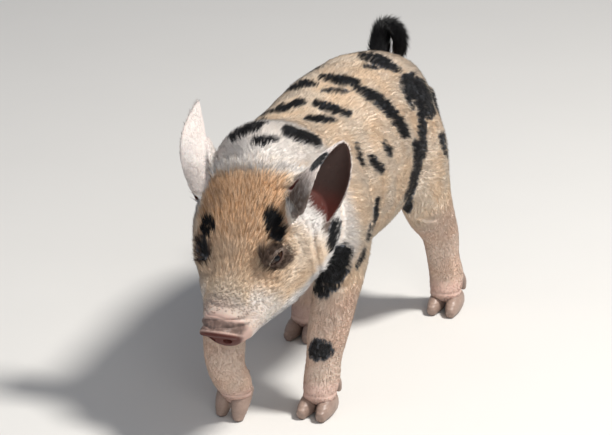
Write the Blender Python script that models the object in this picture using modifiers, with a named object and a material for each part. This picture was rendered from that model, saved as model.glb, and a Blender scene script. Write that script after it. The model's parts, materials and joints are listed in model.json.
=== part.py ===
"""A life-size walking piglet, about five weeks old, in pieces that meet with thin gaps.

The animal faces -Y, its left side is +X and it stands on Z = 0. Sizes below are in
millimetres and are turned into metres where the meshes are made. Flesh is lofted through
rows of stations, fused and smoothed as one body, then parted by thin cuts.
"""

import math

import bmesh
import bpy
import numpy as np
from mathutils import Matrix, Vector
from mathutils.bvhtree import BVHTree

MM = 0.001
GAP = 0.3
# The voxel and the rounds of smoothing for the body's masses, and then with ears, lids,
# disc, lips and tail.
COARSE_VOXEL = 2.5
COARSE_ROUNDS = 14
FINE_VOXEL = 1.2
FINE_ROUNDS = 3
FLESH_TRIANGLES = 7200
# How much more finely the head, tail and feet are kept than the plain body, and where
# they begin: below and behind in the head's frame, and above and behind on the body.
FINE_WEIGHT = 0.6
FINE_PULL = 0.00002
FINE_HEAD = dict(below=-62, front=-155, behind=-5)
FINE_FEET_BELOW = 45
FINE_TAIL = dict(behind=150, above=222)
TRUNK_SQUARENESS = 2.3
SKULL_SQUARENESS = 2.25
SHARP_ANGLE = 45
# Shares of a parted piece's free triangles to keep: the first that leaves it closed.
PARTED_SHARES = (0.55, 0.6, 0.65, 0.7, 0.8, 1.0)
# Share of a body's volume that may go with the gap round one cut.
LOST_SHARE = 0.0012
# Vertices that a loose part needs to count as a leg.
LEG_VERTICES = 60

# Each station of a trunk, neck or leg loft: x, y, z, half width across, half depth in
# front (or above), half depth behind (or below).
TRUNK = [
    (-3, -116, 164, 36, 36, 36),
    (-3, -100, 167, 48, 49, 50),
    (-3, -76, 170, 56, 62, 58),
    (-4, -40, 172, 61, 66, 66),
    (-4, 0, 173, 62, 68, 68),
    (-5, 40, 175, 63, 70, 68),
    (-6, 80, 177, 61, 68, 62),
    (-7, 110, 180, 57, 64, 50),
    (-8, 135, 183, 48, 54, 42),
    (-8, 152, 184, 36, 42, 32),
    (-8, 164, 186, 20, 27, 22),
]
NECK = [
    (-3, -50, 186, 50, 50, 50),
    (-3, -80, 200, 48, 42, 52),
    (-3, -104, 212, 44, 36, 52),
    (-3, -120, 214, 40, 30, 44),
]
LEFT_FORELEG = [
    (32, -60, 206, 14, 28, 30),
    (42, -64, 172, 20, 36, 38),
    (43, -69, 142, 22, 34, 36),
    (42, -73, 116, 20, 26, 28),
    (40, -77, 93, 18, 20, 20),
    (36, -79.5, 68, 17, 17.5, 17.5),
    (33, -80, 48, 15, 15, 15),
    (32, -82, 30, 15.5, 14.5, 15.5),
    (32, -88, 15, 14.5, 14, 13.5),
]
RIGHT_FORELEG = [
    (-36, -66, 206, 14, 28, 30),
    (-43, -76, 172, 20, 37, 38),
    (-43, -86, 145, 21, 34, 34),
    (-41, -98, 118, 19, 26, 25),
    (-35, -119, 92, 17, 19.5, 20),
    (-28, -137, 68, 17, 17.5, 17.5),
    (-27, -136, 50, 16, 15, 15),
    (-26, -126, 34, 16, 14, 14),
    (-27, -115, 19, 13.5, 12, 12),
]
LEFT_HINDLEG = [
    (26, 98, 208, 18, 36, 34),
    (35, 102, 172, 22, 44, 38),
    (39, 108, 142, 22, 40, 34),
    (40, 120, 116, 19, 32, 27),
    (40, 136, 93, 17, 23, 20),
    (40, 149, 72, 16, 16, 17),
    (40, 156, 50, 15, 14, 14),
    (41, 162, 30, 15.5, 15, 15.5),
    (42, 157, 15, 14.5, 14, 13.5),
]
RIGHT_HINDLEG = [
    (-36, 98, 208, 18, 36, 36),
    (-44, 93, 172, 22, 44, 42),
    (-46, 85, 142, 22, 38, 38),
    (-46, 78, 116, 19, 27, 27),
    (-45, 76, 93, 17, 20, 20),
    (-44, 77, 74, 15.5, 16, 17),
    (-44, 70, 50, 14, 14, 14),
    (-44, 63, 30, 15, 15, 15.5),
    (-44, 56, 15, 14.5, 14, 13.5),
]
# The fullness behind each thigh.
LEFT_HAM = [
    (20, 118, 196, 20, 30, 46),
    (22, 118, 168, 22, 32, 50),
    (25, 121, 142, 20, 30, 43),
    (30, 128, 116, 16, 24, 32),
    (36, 140, 93, 12, 14, 20),
]
RIGHT_HAM = [
    (-28, 112, 196, 20, 30, 46),
    (-30, 107, 168, 22, 32, 47),
    (-34, 99, 142, 20, 30, 38),
    (-40, 90, 116, 16, 24, 25),
    (-43, 84, 96, 12, 14, 15),
]
TAIL = [
    (-16, 148, 196, 10, 10, 10),
    (-22, 160, 215, 8, 8, 8),
    (-24, 166, 232, 7, 7, 7),
    (-22, 168, 242, 6.5, 6.5, 6.5),
    (-15, 168, 245, 6, 6, 6),
    (-9, 168, 239, 5.4, 5.4, 5.4),
    (-8, 170, 229, 4.6, 4.6, 4.6),
    (-10, 173, 221, 3, 3, 3),
]

# The head has a frame of its own: x to the animal's left, s ahead along the head's
# axis, z up, with its origin inside the back of the skull.
HEAD = dict(at=(2, -88, 202), yaw=-1, pitch=40, roll=-8)
# Stations of the skull and muzzle: s, height of the axis, half width, half height
# above and below.
SKULL = [
    (-4, 0, 42, 42, 38),
    (14, 0, 51, 46, 46),
    (34, 0, 57, 45, 50),
    (54, -1, 57.5, 39, 50),
    (74, -3, 53, 33, 45),
    (92, -5, 45.5, 26, 38),
    (110, -6, 35.5, 21, 30),
    (128, -6, 24.5, 18.5, 23),
    (141, -4, 17.5, 16.5, 18),
]
JAW = [
    (40, -32, 34, 16, 27),
    (66, -31, 31, 16, 26),
    (92, -27, 25, 14, 22),
    (112, -23, 20, 11, 17),
    (127, -19, 15, 8, 12),
]
# How far the muzzle leans to the animal's right at its end, and where the lean starts.
MUZZLE_LEAN = dict(start=96, end=146, aside=3.5)
DISC = dict(ahead=146, height=-4, half_width=15.8, half_height=14.5, tilt=24, dome=0.06)
DISC_RIM = ((6, 2.2), (2.5, 0.6), (0, 0), (-2, 0.9))
NOSTRIL = dict(aside=7, behind=-2, height=-1, radii=(3.8, 8, 3.2), turn=20)
EYE = dict(aside=29.5, ahead=84, height=15.5, radius=9, lid=2.2)
# Direction that an eye looks, and the slit between its lids, in the head's frame.
EYE_LOOK = (0.80, 0.40, 0.45)
SLIT = dict(half_length=7.2, half_height=2.8, reach=4, tilt=-10)
# The mouth's line on the left, from the chin to its corner: x, s, z.
MOUTH = [(0, 141, -17), (8, 140, -17), (15, 134, -18), (18.5, 124, -19.5),
         (22, 110, -21), (26.5, 95, -22), (31, 82, -19)]
MOUTH_CUT = dict(outward=9, inward=5, half_width=0.5)
LIP = dict(radius=2.2, lift=2.6)
# Each ear: root in the head's frame, and the directions of its tip and of its cup. The
# wrap says how many degrees its front and rear margins turn round the cup, at the root
# and at the tip.
EARS = {
    "left": dict(at=(38, 37, 22), length=68, lean=(55, 18, 81), cup=(0.673, -0.672, -0.307),
                 outer=1, half_width=36, widening=0.2, wrap=((128, 70), (86, 52)), drop=14),
    "right": dict(at=(-41, 31, 23), length=75, lean=(-27, 15, 95), cup=(-0.93, -0.36, 0),
                  outer=-1, half_width=24, widening=0.95, wrap=((118, 54), (118, 54)), drop=7),
}
# The leaf of an ear is wider in its middle and comes to a blunt point.
EAR = dict(pointedness=2.4, fullness=0.8, blunt=1.2, thickness=2.8, sink=8, rows=23,
           columns=14)
# The funnel under an ear's leaf: its length as a share of the ear's, how much it narrows
# and how far it sinks into the head.
FUNNEL = dict(share=0.3, narrowing=0.6, sunk=13)
# The thick root of an ear, behind its cup: distance along the ear, offset towards the
# cup, half width across, half depth towards the cup and away from it.
EAR_ROOT = [(-12, -8, 24, 8, 12), (4, -5, 20, 6, 11), (18, -2, 15, 4, 8), (36, 0, 9, 2, 4)]
# The cut that parts an ear: where it starts and ends along it, and its depths.
EAR_CUT = dict(start=14, end=95, half_width=30, front=42, back=12)

# Each foot: place of its middle on the floor, heading to the left in degrees, and how
# far it tips onto its toes.
FEET = {
    "foreleg_left": dict(at=(31.5, -87, 0), heading=0, tip=0, lift=0),
    "foreleg_right": dict(at=(-27, -112, 0), heading=-12, tip=55, lift=13),
    "hindleg_left": dict(at=(43, 158, 0), heading=4, tip=0, lift=0),
    "hindleg_right": dict(at=(-45, 56, 0), heading=0, tip=0, lift=0),
}
# Stations of a main claw from heel to toe and of a dewclaw: offset aside, ahead, z,
# half width, up, down.
CLAW = [
    (0, -9, 10, 5.5, 8, 11),
    (0, 0, 9, 6.8, 9, 10),
    (0.4, 9, 7, 6, 7.5, 8),
    (0.8, 16, 4.5, 4, 5, 5.5),
]
CLAW_ASIDE = 7.6
DEWCLAW = [
    (0, 2, 29, 4.2, 4.2, 4.2),
    (0.4, -3, 22, 4, 4, 4),
    (1, -6, 15, 2.4, 2.4, 2.4),
]
DEWCLAW_PLACE = dict(aside=7.5, ahead=-14.5)

# Cutters that part the legs from the trunk, in the legs' own station form. Their lower
# ends cross the knee or hock.
LEG_CUTS = {
    "foreleg_left": [(46, -66, 196, 22, 26, 26), (50, -70, 150, 29, 44, 44),
                     (46, -75, 118, 27, 38, 36), (36, -79, 72, 24, 26, 26)],
    "foreleg_right": [(-52, -76, 196, 22, 26, 26), (-56, -84, 150, 29, 44, 44),
                      (-50, -98, 118, 27, 36, 36), (-29, -134, 74, 24, 26, 26)],
    "hindleg_left": [(44, 98, 200, 22, 34, 34), (48, 105, 150, 29, 50, 46),
                     (46, 120, 118, 27, 38, 36), (40, 148, 78, 24, 26, 26)],
    "hindleg_right": [(-58, 98, 200, 22, 34, 34), (-62, 90, 150, 29, 50, 50),
                      (-54, 80, 118, 27, 38, 36), (-44, 77, 80, 24, 26, 26)],
}
LEG_LOWER_SEED = {
    "foreleg_left": (33, -80, 40),
    "foreleg_right": (-27, -132, 45),
    "hindleg_left": (40, 156, 45),
    "hindleg_right": (-44, 68, 45),
}
TAIL_CUT = dict(at=(-16, 182, 244), radius=34)
HEAD_CUT = dict(ahead=92, height=5, radii=(98, 92, 64))
NECK_CUT = dict(at=(-3, -78, 200), size=(150, 140, 150), tilt=-16)

COLOURS = {
    "torso": (0.79, 0.55, 0.45),
    "neck": (0.80, 0.66, 0.58),
    "head": (0.78, 0.47, 0.31),
    "tail": (0.03, 0.028, 0.028),
    "ear": (0.62, 0.36, 0.31),
    "eye": (0.02, 0.012, 0.01),
    "leg": (0.78, 0.56, 0.49),
    "claw": (0.45, 0.33, 0.26),
}


def remove_everything():
    for obj in list(bpy.data.objects):
        bpy.data.objects.remove(obj, do_unlink=True)


def new_collection(name):
    collection = bpy.data.collections.new(name)
    bpy.context.scene.collection.children.link(collection)
    return collection


def object_from(bm, name, collection):
    bmesh.ops.recalc_face_normals(bm, faces=bm.faces)
    mesh = bpy.data.meshes.new(name)
    bm.to_mesh(mesh)
    bm.free()
    obj = bpy.data.objects.new(name, mesh)
    collection.objects.link(obj)
    return obj


def applied(obj):
    """The object with its modifiers applied."""
    graph = bpy.context.evaluated_depsgraph_get()
    mesh = bpy.data.meshes.new_from_object(obj.evaluated_get(graph))
    obj.modifiers.clear()
    obj.data = mesh
    return obj


def joined(objects, name):
    """One mesh object in place of several."""
    graph = bpy.context.evaluated_depsgraph_get()
    collection = objects[0].users_collection[0]
    bm = bmesh.new()
    for obj in objects:
        bm.from_mesh(bpy.data.meshes.new_from_object(obj.evaluated_get(graph)))
    for obj in objects:
        bpy.data.objects.remove(obj, do_unlink=True)
    mesh = bpy.data.meshes.new(name)
    bm.to_mesh(mesh)
    bm.free()
    result = bpy.data.objects.new(name, mesh)
    collection.objects.link(result)
    return result


def is_closed(mesh):
    """Whether every edge has two faces, and there are any."""
    if not mesh.polygons:
        return False
    edges = np.empty(len(mesh.loops), int)
    mesh.loops.foreach_get("edge_index", edges)
    return bool((np.bincount(edges) == 2).all())


def volume(mesh):
    bm = bmesh.new()
    bm.from_mesh(mesh)
    found = bm.calc_volume()
    bm.free()
    return found


def solved(obj, cutter, operation, solver):
    """The mesh that a Boolean with this solver gives."""
    cut = obj.modifiers.new("cut", "BOOLEAN")
    cut.operation = operation
    cut.object = cutter
    cut.solver = solver
    graph = bpy.context.evaluated_depsgraph_get()
    mesh = bpy.data.meshes.new_from_object(obj.evaluated_get(graph))
    obj.modifiers.clear()
    return mesh


def divided(obj, inner, outer):
    """Meshes of what lies in the inner cutter and out of the outer one. The manifold
    solver is used where the exact one leaves an open mesh or loses a piece."""
    whole = volume(obj.data)
    for solver in ("EXACT", "MANIFOLD"):
        inside = solved(obj, inner, "INTERSECT", solver)
        outside = solved(obj, outer, "DIFFERENCE", solver)
        lost = abs(whole - volume(inside) - volume(outside))
        if is_closed(inside) and is_closed(outside) and lost < LOST_SHARE * whole:
            break
    return inside, outside


def smooth_rows(rows, steps):
    """Rows of numbers read along a Catmull-Rom curve, with steps rows to a span."""
    rows = np.array(rows, float)
    padded = np.vstack([2 * rows[0] - rows[1], rows, 2 * rows[-1] - rows[-2]])
    found = []
    for a, b, c, d in zip(padded, padded[1:], padded[2:], padded[3:]):
        for t in np.arange(steps) / steps:
            slope = (c - a) * t
            bend = (2 * a - 5 * b + 4 * c - d) * t**2
            twist = (3 * b - a - 3 * c + d) * t**3
            found.append(0.5 * (2 * b + slope + bend + twist))
    return np.vstack([found, rows[-1]])


def section(side, front, back, count, squareness):
    """Points (across, ahead) round a section that may be deeper in front than behind."""
    points = []
    for k in range(count):
        angle = 2 * math.pi * k / count
        c, s = math.cos(angle), math.sin(angle)
        across = math.copysign(abs(c) ** (2 / squareness), c) * side
        ahead = math.copysign(abs(s) ** (2 / squareness), s) * (front if s > 0 else back)
        points.append((across, ahead))
    return points


def loft(name, stations, ahead, collection, steps=5, sides=28, squareness=2.1,
         dome=0.55, caps=3, grow=0.0, place=Matrix.Identity(4)):
    """A closed round-ended loft through stations. ahead is roughly the front direction."""
    rows = smooth_rows(stations, steps)
    rows[:, 3:] += grow
    centres = rows[:, :3]
    tangents = np.gradient(centres, axis=0)
    rings = [(centres[i], tangents[i], rows[i, 3:]) for i in range(len(rows))]
    tips = []
    for index, sign in ((0, -1), (len(centres) - 1, 1)):
        tangent = tangents[index] / np.linalg.norm(tangents[index])
        reach = dome * (rows[index, 3:].mean() - grow) + grow
        cap = []
        for turn in range(1, caps + 1):
            angle = turn / (caps + 1) * math.pi / 2
            centre = centres[index] + sign * reach * math.sin(angle) * tangent
            cap.append((centre, tangent, rows[index, 3:] * math.cos(angle)))
        rings = cap[::-1] + rings if sign < 0 else rings + cap
        tips.append(centres[index] + sign * reach * tangent)
    bm = bmesh.new()
    loops = []
    for centre, tangent, half in rings:
        along = Vector(tangent).normalized()
        front = (Vector(ahead) - along * Vector(ahead).dot(along)).normalized()
        across = front.cross(along)
        loop = []
        for aside, forward in section(*half, sides, squareness):
            point = Vector(centre) + across * aside + front * forward
            loop.append(bm.verts.new(place @ (point * MM)))
        loops.append(loop)
    for one, two in zip(loops, loops[1:]):
        for k in range(sides):
            after = (k + 1) % sides
            # Triangles, so that a cutter and its grown twin bend in the same way.
            bm.faces.new((one[k], one[after], two[after]))
            bm.faces.new((one[k], two[after], two[k]))
    for loop, tip in zip((loops[0], loops[-1]), tips):
        end = bm.verts.new(place @ (Vector(tip) * MM))
        for k in range(sides):
            bm.faces.new((loop[k], loop[(k + 1) % sides], end))
    return object_from(bm, name, collection)


def ball(name, centre, radii, collection, place=Matrix.Identity(4),
         turn=Matrix.Identity(4), segments=24):
    bm = bmesh.new()
    bmesh.ops.create_uvsphere(bm, u_segments=segments, v_segments=segments * 2 // 3,
                              radius=1)
    scale = Matrix.Diagonal((*[r * MM for r in radii], 1))
    bm.transform(place @ Matrix.Translation(Vector(centre) * MM) @ turn @ scale)
    return object_from(bm, name, collection)


def box(name, centre, size, collection, turn=Matrix.Identity(4)):
    bm = bmesh.new()
    bmesh.ops.create_cube(bm, size=1)
    scale = Matrix.Diagonal((*[s * MM for s in size], 1))
    bm.transform(Matrix.Translation(Vector(centre) * MM) @ turn @ scale)
    return object_from(bm, name, collection)


def head_matrix():
    turn = Matrix.Rotation(math.radians(HEAD["yaw"]), 4, "Z")
    turn = turn @ Matrix.Rotation(math.radians(HEAD["pitch"]), 4, "X")
    turn = turn @ Matrix.Rotation(math.radians(HEAD["roll"]), 4, "Y")
    return Matrix.Translation(Vector(HEAD["at"]) * MM) @ turn


def in_head(aside, ahead, height):
    """A point of the head's frame from x, s and z, with the muzzle's lean."""
    lean = (ahead - MUZZLE_LEAN["start"]) / (MUZZLE_LEAN["end"] - MUZZLE_LEAN["start"])
    return Vector((aside - MUZZLE_LEAN["aside"] * max(lean, 0), -ahead, height))


def head_rows(rows):
    """Stations given along the head's axis, as loft stations of the head's frame."""
    return [(*in_head(0, s, z), side, up, down) for s, z, side, up, down in rows]


def disc_matrix():
    disc = Matrix.Translation(in_head(0, DISC["ahead"], DISC["height"]) * MM)
    return head_matrix() @ disc @ Matrix.Rotation(math.radians(DISC["tilt"]), 4, "X")


def ear_axes(side):
    """Root point in metres and the directions along, into the cup and across an ear."""
    spec = EARS[side]
    along = Vector(spec["lean"]).normalized()
    cup = Vector(spec["cup"])
    cup = (cup - along * cup.dot(along)).normalized()
    return head_matrix() @ (in_head(*spec["at"]) * MM), along, cup, along.cross(cup)


def ear_sheet(side, collection):
    """The cupped leaf of an ear, from a funnel at its root to a rounded point."""
    root, along, cup, across = ear_axes(side)
    axis = head_matrix() @ (in_head(0, EARS[side]["at"][1], 0) * MM)
    inward = (axis - root).normalized()
    rows, columns = EAR["rows"], EAR["columns"]
    ear = EARS[side]
    bm = bmesh.new()
    grid = []
    for i in range(rows + 1):
        v = (1 + FUNNEL["share"]) * i / rows - FUNNEL["share"]
        leaf, below = max(v, 0), max(-v, 0) / FUNNEL["share"]
        outline = (1 - leaf ** EAR["pointedness"]) ** EAR["fullness"]
        half_arc = ear["half_width"] * (1 + ear["widening"] * leaf) * outline + EAR["blunt"]
        front, rear = [math.radians(a + (b - a) * leaf) for a, b in ear["wrap"]]
        radius = half_arc / ((front + rear) / 2)
        narrow = radius * (1 - FUNNEL["narrowing"] * below)
        centre = cup * radius + inward * FUNNEL["sunk"] * below
        line = []
        for j in range(columns + 1):
            turn = ear["outer"] * ((front + rear) * j / columns - front)
            drop = ear["outer"] * ear["drop"] * math.sin(turn) * (1 - leaf)
            height = ear["length"] * v - EAR["sink"] * math.cos(turn / 2) - drop
            offset = (centre + across * narrow * math.sin(turn)
                      - cup * narrow * math.cos(turn) + along * height)
            line.append(bm.verts.new(root + offset * MM))
        grid.append(line)
    for one, two in zip(grid, grid[1:]):
        for j in range(columns):
            bm.faces.new((one[j], one[j + 1], two[j + 1], two[j]))
    obj = object_from(bm, "ear_" + side, collection)
    wall = obj.modifiers.new("wall", "SOLIDIFY")
    wall.thickness = EAR["thickness"] * MM
    wall.offset = 0
    return obj


def ear_root(side, collection):
    root, along, cup, _ = ear_axes(side)
    rows = [(*(root / MM + along * d + cup * offset), wide, front, back)
            for d, offset, wide, front, back in EAR_ROOT]
    return loft("ear_root_" + side, rows, cup, collection, sides=20)


def eye_frame(sign):
    """Matrix of an eye: z looks out, x runs along the slit towards its outer corner."""
    look = Vector((sign * EYE_LOOK[0], -EYE_LOOK[1], EYE_LOOK[2])).normalized()
    back = Vector((0, 1, 0))
    tilt = math.radians(SLIT["tilt"])
    slit = (back * math.cos(tilt) + Vector((0, 0, 1)) * math.sin(tilt))
    slit = (slit - look * slit.dot(look)).normalized()
    turn = Matrix((slit, look.cross(slit), look)).transposed().to_4x4()
    centre = in_head(sign * EYE["aside"], EYE["ahead"], EYE["height"]) * MM
    return head_matrix() @ Matrix.Translation(centre) @ turn


def mouth_path():
    left = smooth_rows(MOUTH, 3)
    right = left[:0:-1] * np.array([-1, 1, 1])
    return [in_head(*p) for p in np.vstack([right, left])]


def mouth_cutter(collection):
    """A thin plate along the mouth's line, which reaches a few millimetres inwards."""
    reach, depth, half = (MOUTH_CUT[k] for k in ("outward", "inward", "half_width"))
    path = mouth_path()
    place = head_matrix()
    bm = bmesh.new()
    rings = []
    for i, point in enumerate(path):
        along = (path[min(i + 1, len(path) - 1)] - path[max(i - 1, 0)]).normalized()
        out = along.cross(Vector((0, 0, 1))).normalized()
        up = Vector((0, 0, half))
        corners = (point + out * reach + up, point - out * depth + up,
                   point - out * depth - up, point + out * reach - up)
        rings.append([bm.verts.new(place @ (c * MM)) for c in corners])
    for one, two in zip(rings, rings[1:]):
        for k in range(4):
            bm.faces.new((one[k], one[(k + 1) % 4], two[(k + 1) % 4], two[k]))
    bm.faces.new(rings[0])
    bm.faces.new(rings[-1][::-1])
    return object_from(bm, "mouth_line", collection)


def lips(collection):
    """Two low ridges, one on each side of the mouth's line."""
    made = []
    radius = LIP["radius"]
    for name, lift in (("upper", LIP["lift"]), ("lower", -LIP["lift"])):
        rows = [(*(p + Vector((0, 0, lift))), radius, radius, radius) for p in mouth_path()]
        made.append(loft("lip_" + name, rows, (0, 0, 1), collection, steps=1, sides=10,
                         place=head_matrix()))
    return made


def fused(obj, voxel, rounds):
    remesh = obj.modifiers.new("fuse", "REMESH")
    remesh.mode = "VOXEL"
    remesh.voxel_size = voxel * MM
    ease = obj.modifiers.new("ease", "SMOOTH")
    ease.factor = 0.5
    ease.iterations = rounds
    return applied(obj)


def thinned(obj, triangles):
    """Fewer triangles, with more of them kept on the head, ears, tail and feet."""
    group = obj.vertex_groups.new(name="plain")
    head = head_matrix().inverted()
    for vertex in obj.data.vertices:
        local = head @ vertex.co / MM
        on_head = (local.z > FINE_HEAD["below"]
                   and FINE_HEAD["front"] < local.y < FINE_HEAD["behind"])
        low = vertex.co.z < FINE_FEET_BELOW * MM
        on_tail = (vertex.co.y > FINE_TAIL["behind"] * MM
                   and vertex.co.z > FINE_TAIL["above"] * MM)
        weight = FINE_WEIGHT if on_head or on_tail or low else 1.0
        group.add([vertex.index], weight, "REPLACE")
    count = sum(len(p.vertices) - 2 for p in obj.data.polygons)
    fewer = obj.modifiers.new("fewer", "DECIMATE")
    fewer.ratio = triangles / count
    fewer.vertex_group = "plain"
    fewer.vertex_group_factor = FINE_PULL
    obj = applied(obj)
    obj.vertex_groups.clear()
    return obj


def flesh(collection):
    head = head_matrix()
    front, up = (0, -1, 0), (0, 0, 1)
    masses = [
        loft("trunk", TRUNK, up, collection, squareness=TRUNK_SQUARENESS),
        loft("neck", NECK, up, collection),
        loft("skull", head_rows(SKULL), up, collection, squareness=SKULL_SQUARENESS,
             place=head),
        loft("jaw", head_rows(JAW), up, collection, place=head),
    ]
    limbs = (LEFT_FORELEG, RIGHT_FORELEG, LEFT_HINDLEG, RIGHT_HINDLEG, LEFT_HAM, RIGHT_HAM)
    for k, rows in enumerate(limbs):
        masses.append(loft(f"limb_{k}", rows, front, collection))
    body = fused(joined(masses, "flesh"), COARSE_VOXEL, COARSE_ROUNDS)
    extras = [body]
    extras.append(loft("tail", TAIL, (0, 1, 0), collection, sides=16))
    for side in EARS:
        extras.append(ear_sheet(side, collection))
        extras.append(ear_root(side, collection))
    for sign in (1, -1):
        lid = EYE["radius"] + EYE["lid"]
        extras.append(ball("lid", (0, 0, 0), (lid, lid, lid), collection,
                           place=eye_frame(sign)))
    half_width, half_height = DISC["half_width"], DISC["half_height"]
    rim = [(0, y, 0, half_width - inset, half_height - inset, half_height - inset)
           for y, inset in DISC_RIM]
    extras.append(loft("disc", rim, up, collection, squareness=TRUNK_SQUARENESS,
                       dome=DISC["dome"], place=disc_matrix()))
    extras += lips(collection)
    whole = fused(joined(extras, "flesh"), FINE_VOXEL, FINE_ROUNDS)
    return thinned(whole, FLESH_TRIANGLES)


def foot_matrix(name):
    foot = FEET[name]
    place = Matrix.Translation((Vector(foot["at"]) + Vector((0, 0, foot["lift"]))) * MM)
    place = place @ Matrix.Rotation(math.radians(foot["heading"]), 4, "Z")
    return place @ Matrix.Rotation(math.radians(foot["tip"]), 4, "X")


def floored(obj):
    """The object cut flat where it would dip under the floor."""
    bm = bmesh.new()
    bm.from_mesh(obj.data)
    found = bmesh.ops.bisect_plane(bm, geom=bm.verts[:] + bm.edges[:] + bm.faces[:],
                                   plane_co=(0, 0, 0), plane_no=(0, 0, -1),
                                   clear_outer=True)
    rim = [g for g in found["geom_cut"] if isinstance(g, bmesh.types.BMEdge)]
    if rim:
        bmesh.ops.holes_fill(bm, edges=rim, sides=0)
    bmesh.ops.recalc_face_normals(bm, faces=bm.faces)
    bm.to_mesh(obj.data)
    bm.free()
    return obj


def claw(foot, kind, sign, collection, grow=0.0):
    if kind == "claw":
        steps, caps = 2, 2
        rows = [(sign * (CLAW_ASIDE + x), -s, z, side, up, down)
                for x, s, z, side, up, down in CLAW]
        ahead = (0, 0, 1)
    else:
        steps, caps = 1, 1
        rows = [(sign * (DEWCLAW_PLACE["aside"] + x), -(DEWCLAW_PLACE["ahead"] + s), z,
                 side, up, down) for x, s, z, side, up, down in DEWCLAW]
        ahead = (0, 1, 0)
    side = "left" if sign > 0 else "right"
    return loft(f"{kind}_{side}_of_{foot}", rows, ahead, collection, steps=steps, sides=8,
                caps=caps, grow=grow, place=foot_matrix(foot))


def loose_parts(bm):
    left = set(bm.verts)
    parts = []
    while left:
        stack = [left.pop()]
        part = list(stack)
        while stack:
            for edge in stack.pop().link_edges:
                for vertex in edge.verts:
                    if vertex in left:
                        left.remove(vertex)
                        stack.append(vertex)
                        part.append(vertex)
        parts.append(part)
    return parts


def largest(obj, seed=None):
    """Keeps one loose part: the largest, or the one nearest to a seed point."""
    bm = bmesh.new()
    bm.from_mesh(obj.data)
    parts = loose_parts(bm)
    if seed is None:
        keep = max(parts, key=len)
    else:
        big = [p for p in parts if len(p) > LEG_VERTICES]
        keep = min(big, key=lambda p: min((v.co - seed).length for v in p))
    drop = set(bm.verts) - set(keep)
    bmesh.ops.delete(bm, geom=list(drop), context="VERTS")
    bm.to_mesh(obj.data)
    bm.free()
    return obj


def copy_of(obj, name, collection):
    twin = bpy.data.objects.new(name, obj.data.copy())
    collection.objects.link(twin)
    return twin


def part_off(body, name, cutters, collection):
    """Takes the part of body inside a cutter, and leaves a thin gap round it."""
    inside, body.data = divided(body, *cutters)
    for cutter in cutters:
        bpy.data.objects.remove(cutter, do_unlink=True)
    piece = bpy.data.objects.new(name, inside)
    collection.objects.link(piece)
    return largest(piece)


def cut_out(body, cutter):
    """Takes the cutter's shape out of the body."""
    body.data = divided(body, cutter, cutter)[1]
    bpy.data.objects.remove(cutter, do_unlink=True)


def both(make):
    """A cutter at its own size and one grown by the gap."""
    return make(0.0), make(GAP)


def ear_cutters(side, collection):
    root, along, cup, _ = ear_axes(side)
    rows = [(*(root / MM + along * d), EAR_CUT["half_width"], EAR_CUT["front"],
             EAR_CUT["back"]) for d in (EAR_CUT["start"], EAR_CUT["end"])]
    return both(lambda grow: loft("ear_cut", rows, cup, collection, steps=1, sides=12,
                                  dome=0.12, grow=grow))


def cut_face(body, collection):
    """The openings of the head: mouth line, nostrils and the slits between the lids."""
    cutters = [mouth_cutter(collection)]
    turn = Matrix.Rotation(math.radians(NOSTRIL["turn"]), 4, "Y")
    for sign in (1, -1):
        centre = (sign * NOSTRIL["aside"], NOSTRIL["behind"], NOSTRIL["height"])
        cutters.append(ball("nostril", centre, NOSTRIL["radii"], collection,
                            place=disc_matrix(), segments=12,
                            turn=turn if sign > 0 else turn.inverted()))
        radii = (SLIT["half_length"], SLIT["half_height"], EYE["radius"] + SLIT["reach"])
        cutters.append(ball("slit", (0, 0, EYE["radius"]), radii, collection,
                            place=eye_frame(sign), segments=12))
        radii = [EYE["radius"] + GAP] * 3
        cutters.append(ball("eyeball", (0, 0, 0), radii, collection,
                            place=eye_frame(sign), segments=15))
    for cutter in cutters:
        cut_out(body, cutter)


def lightened(objects, flesh_pieces):
    """Fewer triangles on each piece of flesh, with its cut faces left as they are."""
    graph = bpy.context.evaluated_depsgraph_get()
    trees = {obj.name: BVHTree.FromObject(obj, graph) for obj in objects}
    for obj in flesh_pieces:
        others = [tree for name, tree in trees.items() if name != obj.name]
        group = obj.vertex_groups.new(name="free")
        cut = set()
        for vertex in obj.data.vertices:
            reach = 2 * GAP * MM
            if any(tree.find_nearest(vertex.co, reach)[0] for tree in others):
                cut.add(vertex.index)
            group.add([vertex.index], float(vertex.index not in cut), "REPLACE")
        faces = obj.data.polygons
        fixed = sum(not cut.isdisjoint(face.vertices) for face in faces) / len(faces)
        fewer = obj.modifiers.new("fewer", "DECIMATE")
        fewer.vertex_group = "free"
        for share in PARTED_SHARES:
            fewer.ratio = fixed + (1 - fixed) * share
            graph = bpy.context.evaluated_depsgraph_get()
            mesh = bpy.data.meshes.new_from_object(obj.evaluated_get(graph))
            if is_closed(mesh):
                break
        obj.modifiers.clear()
        obj.vertex_groups.clear()
        obj.data = mesh


def finish(obj, kind):
    material = bpy.data.materials.new(obj.name)
    material.use_nodes = True
    shader = material.node_tree.nodes["Principled BSDF"]
    shader.inputs["Base Color"].default_value = (*COLOURS[kind], 1)
    shader.inputs["Roughness"].default_value = 0.15 if kind == "eye" else 0.65
    shader.inputs["Metallic"].default_value = 0
    obj.data.materials.clear()
    obj.data.materials.append(material)
    obj.data.shade_smooth()
    obj.data.set_sharp_from_angle(angle=math.radians(SHARP_ANGLE))


def centred(objects):
    """Moves the meshes together so that the middle of their box is over the origin."""
    points = np.array([v.co for obj in objects for v in obj.data.vertices])
    middle = (points.min(axis=0) + points.max(axis=0)) / 2
    for obj in objects:
        obj.data.transform(Matrix.Translation((-middle[0], -middle[1], 0)))


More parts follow.
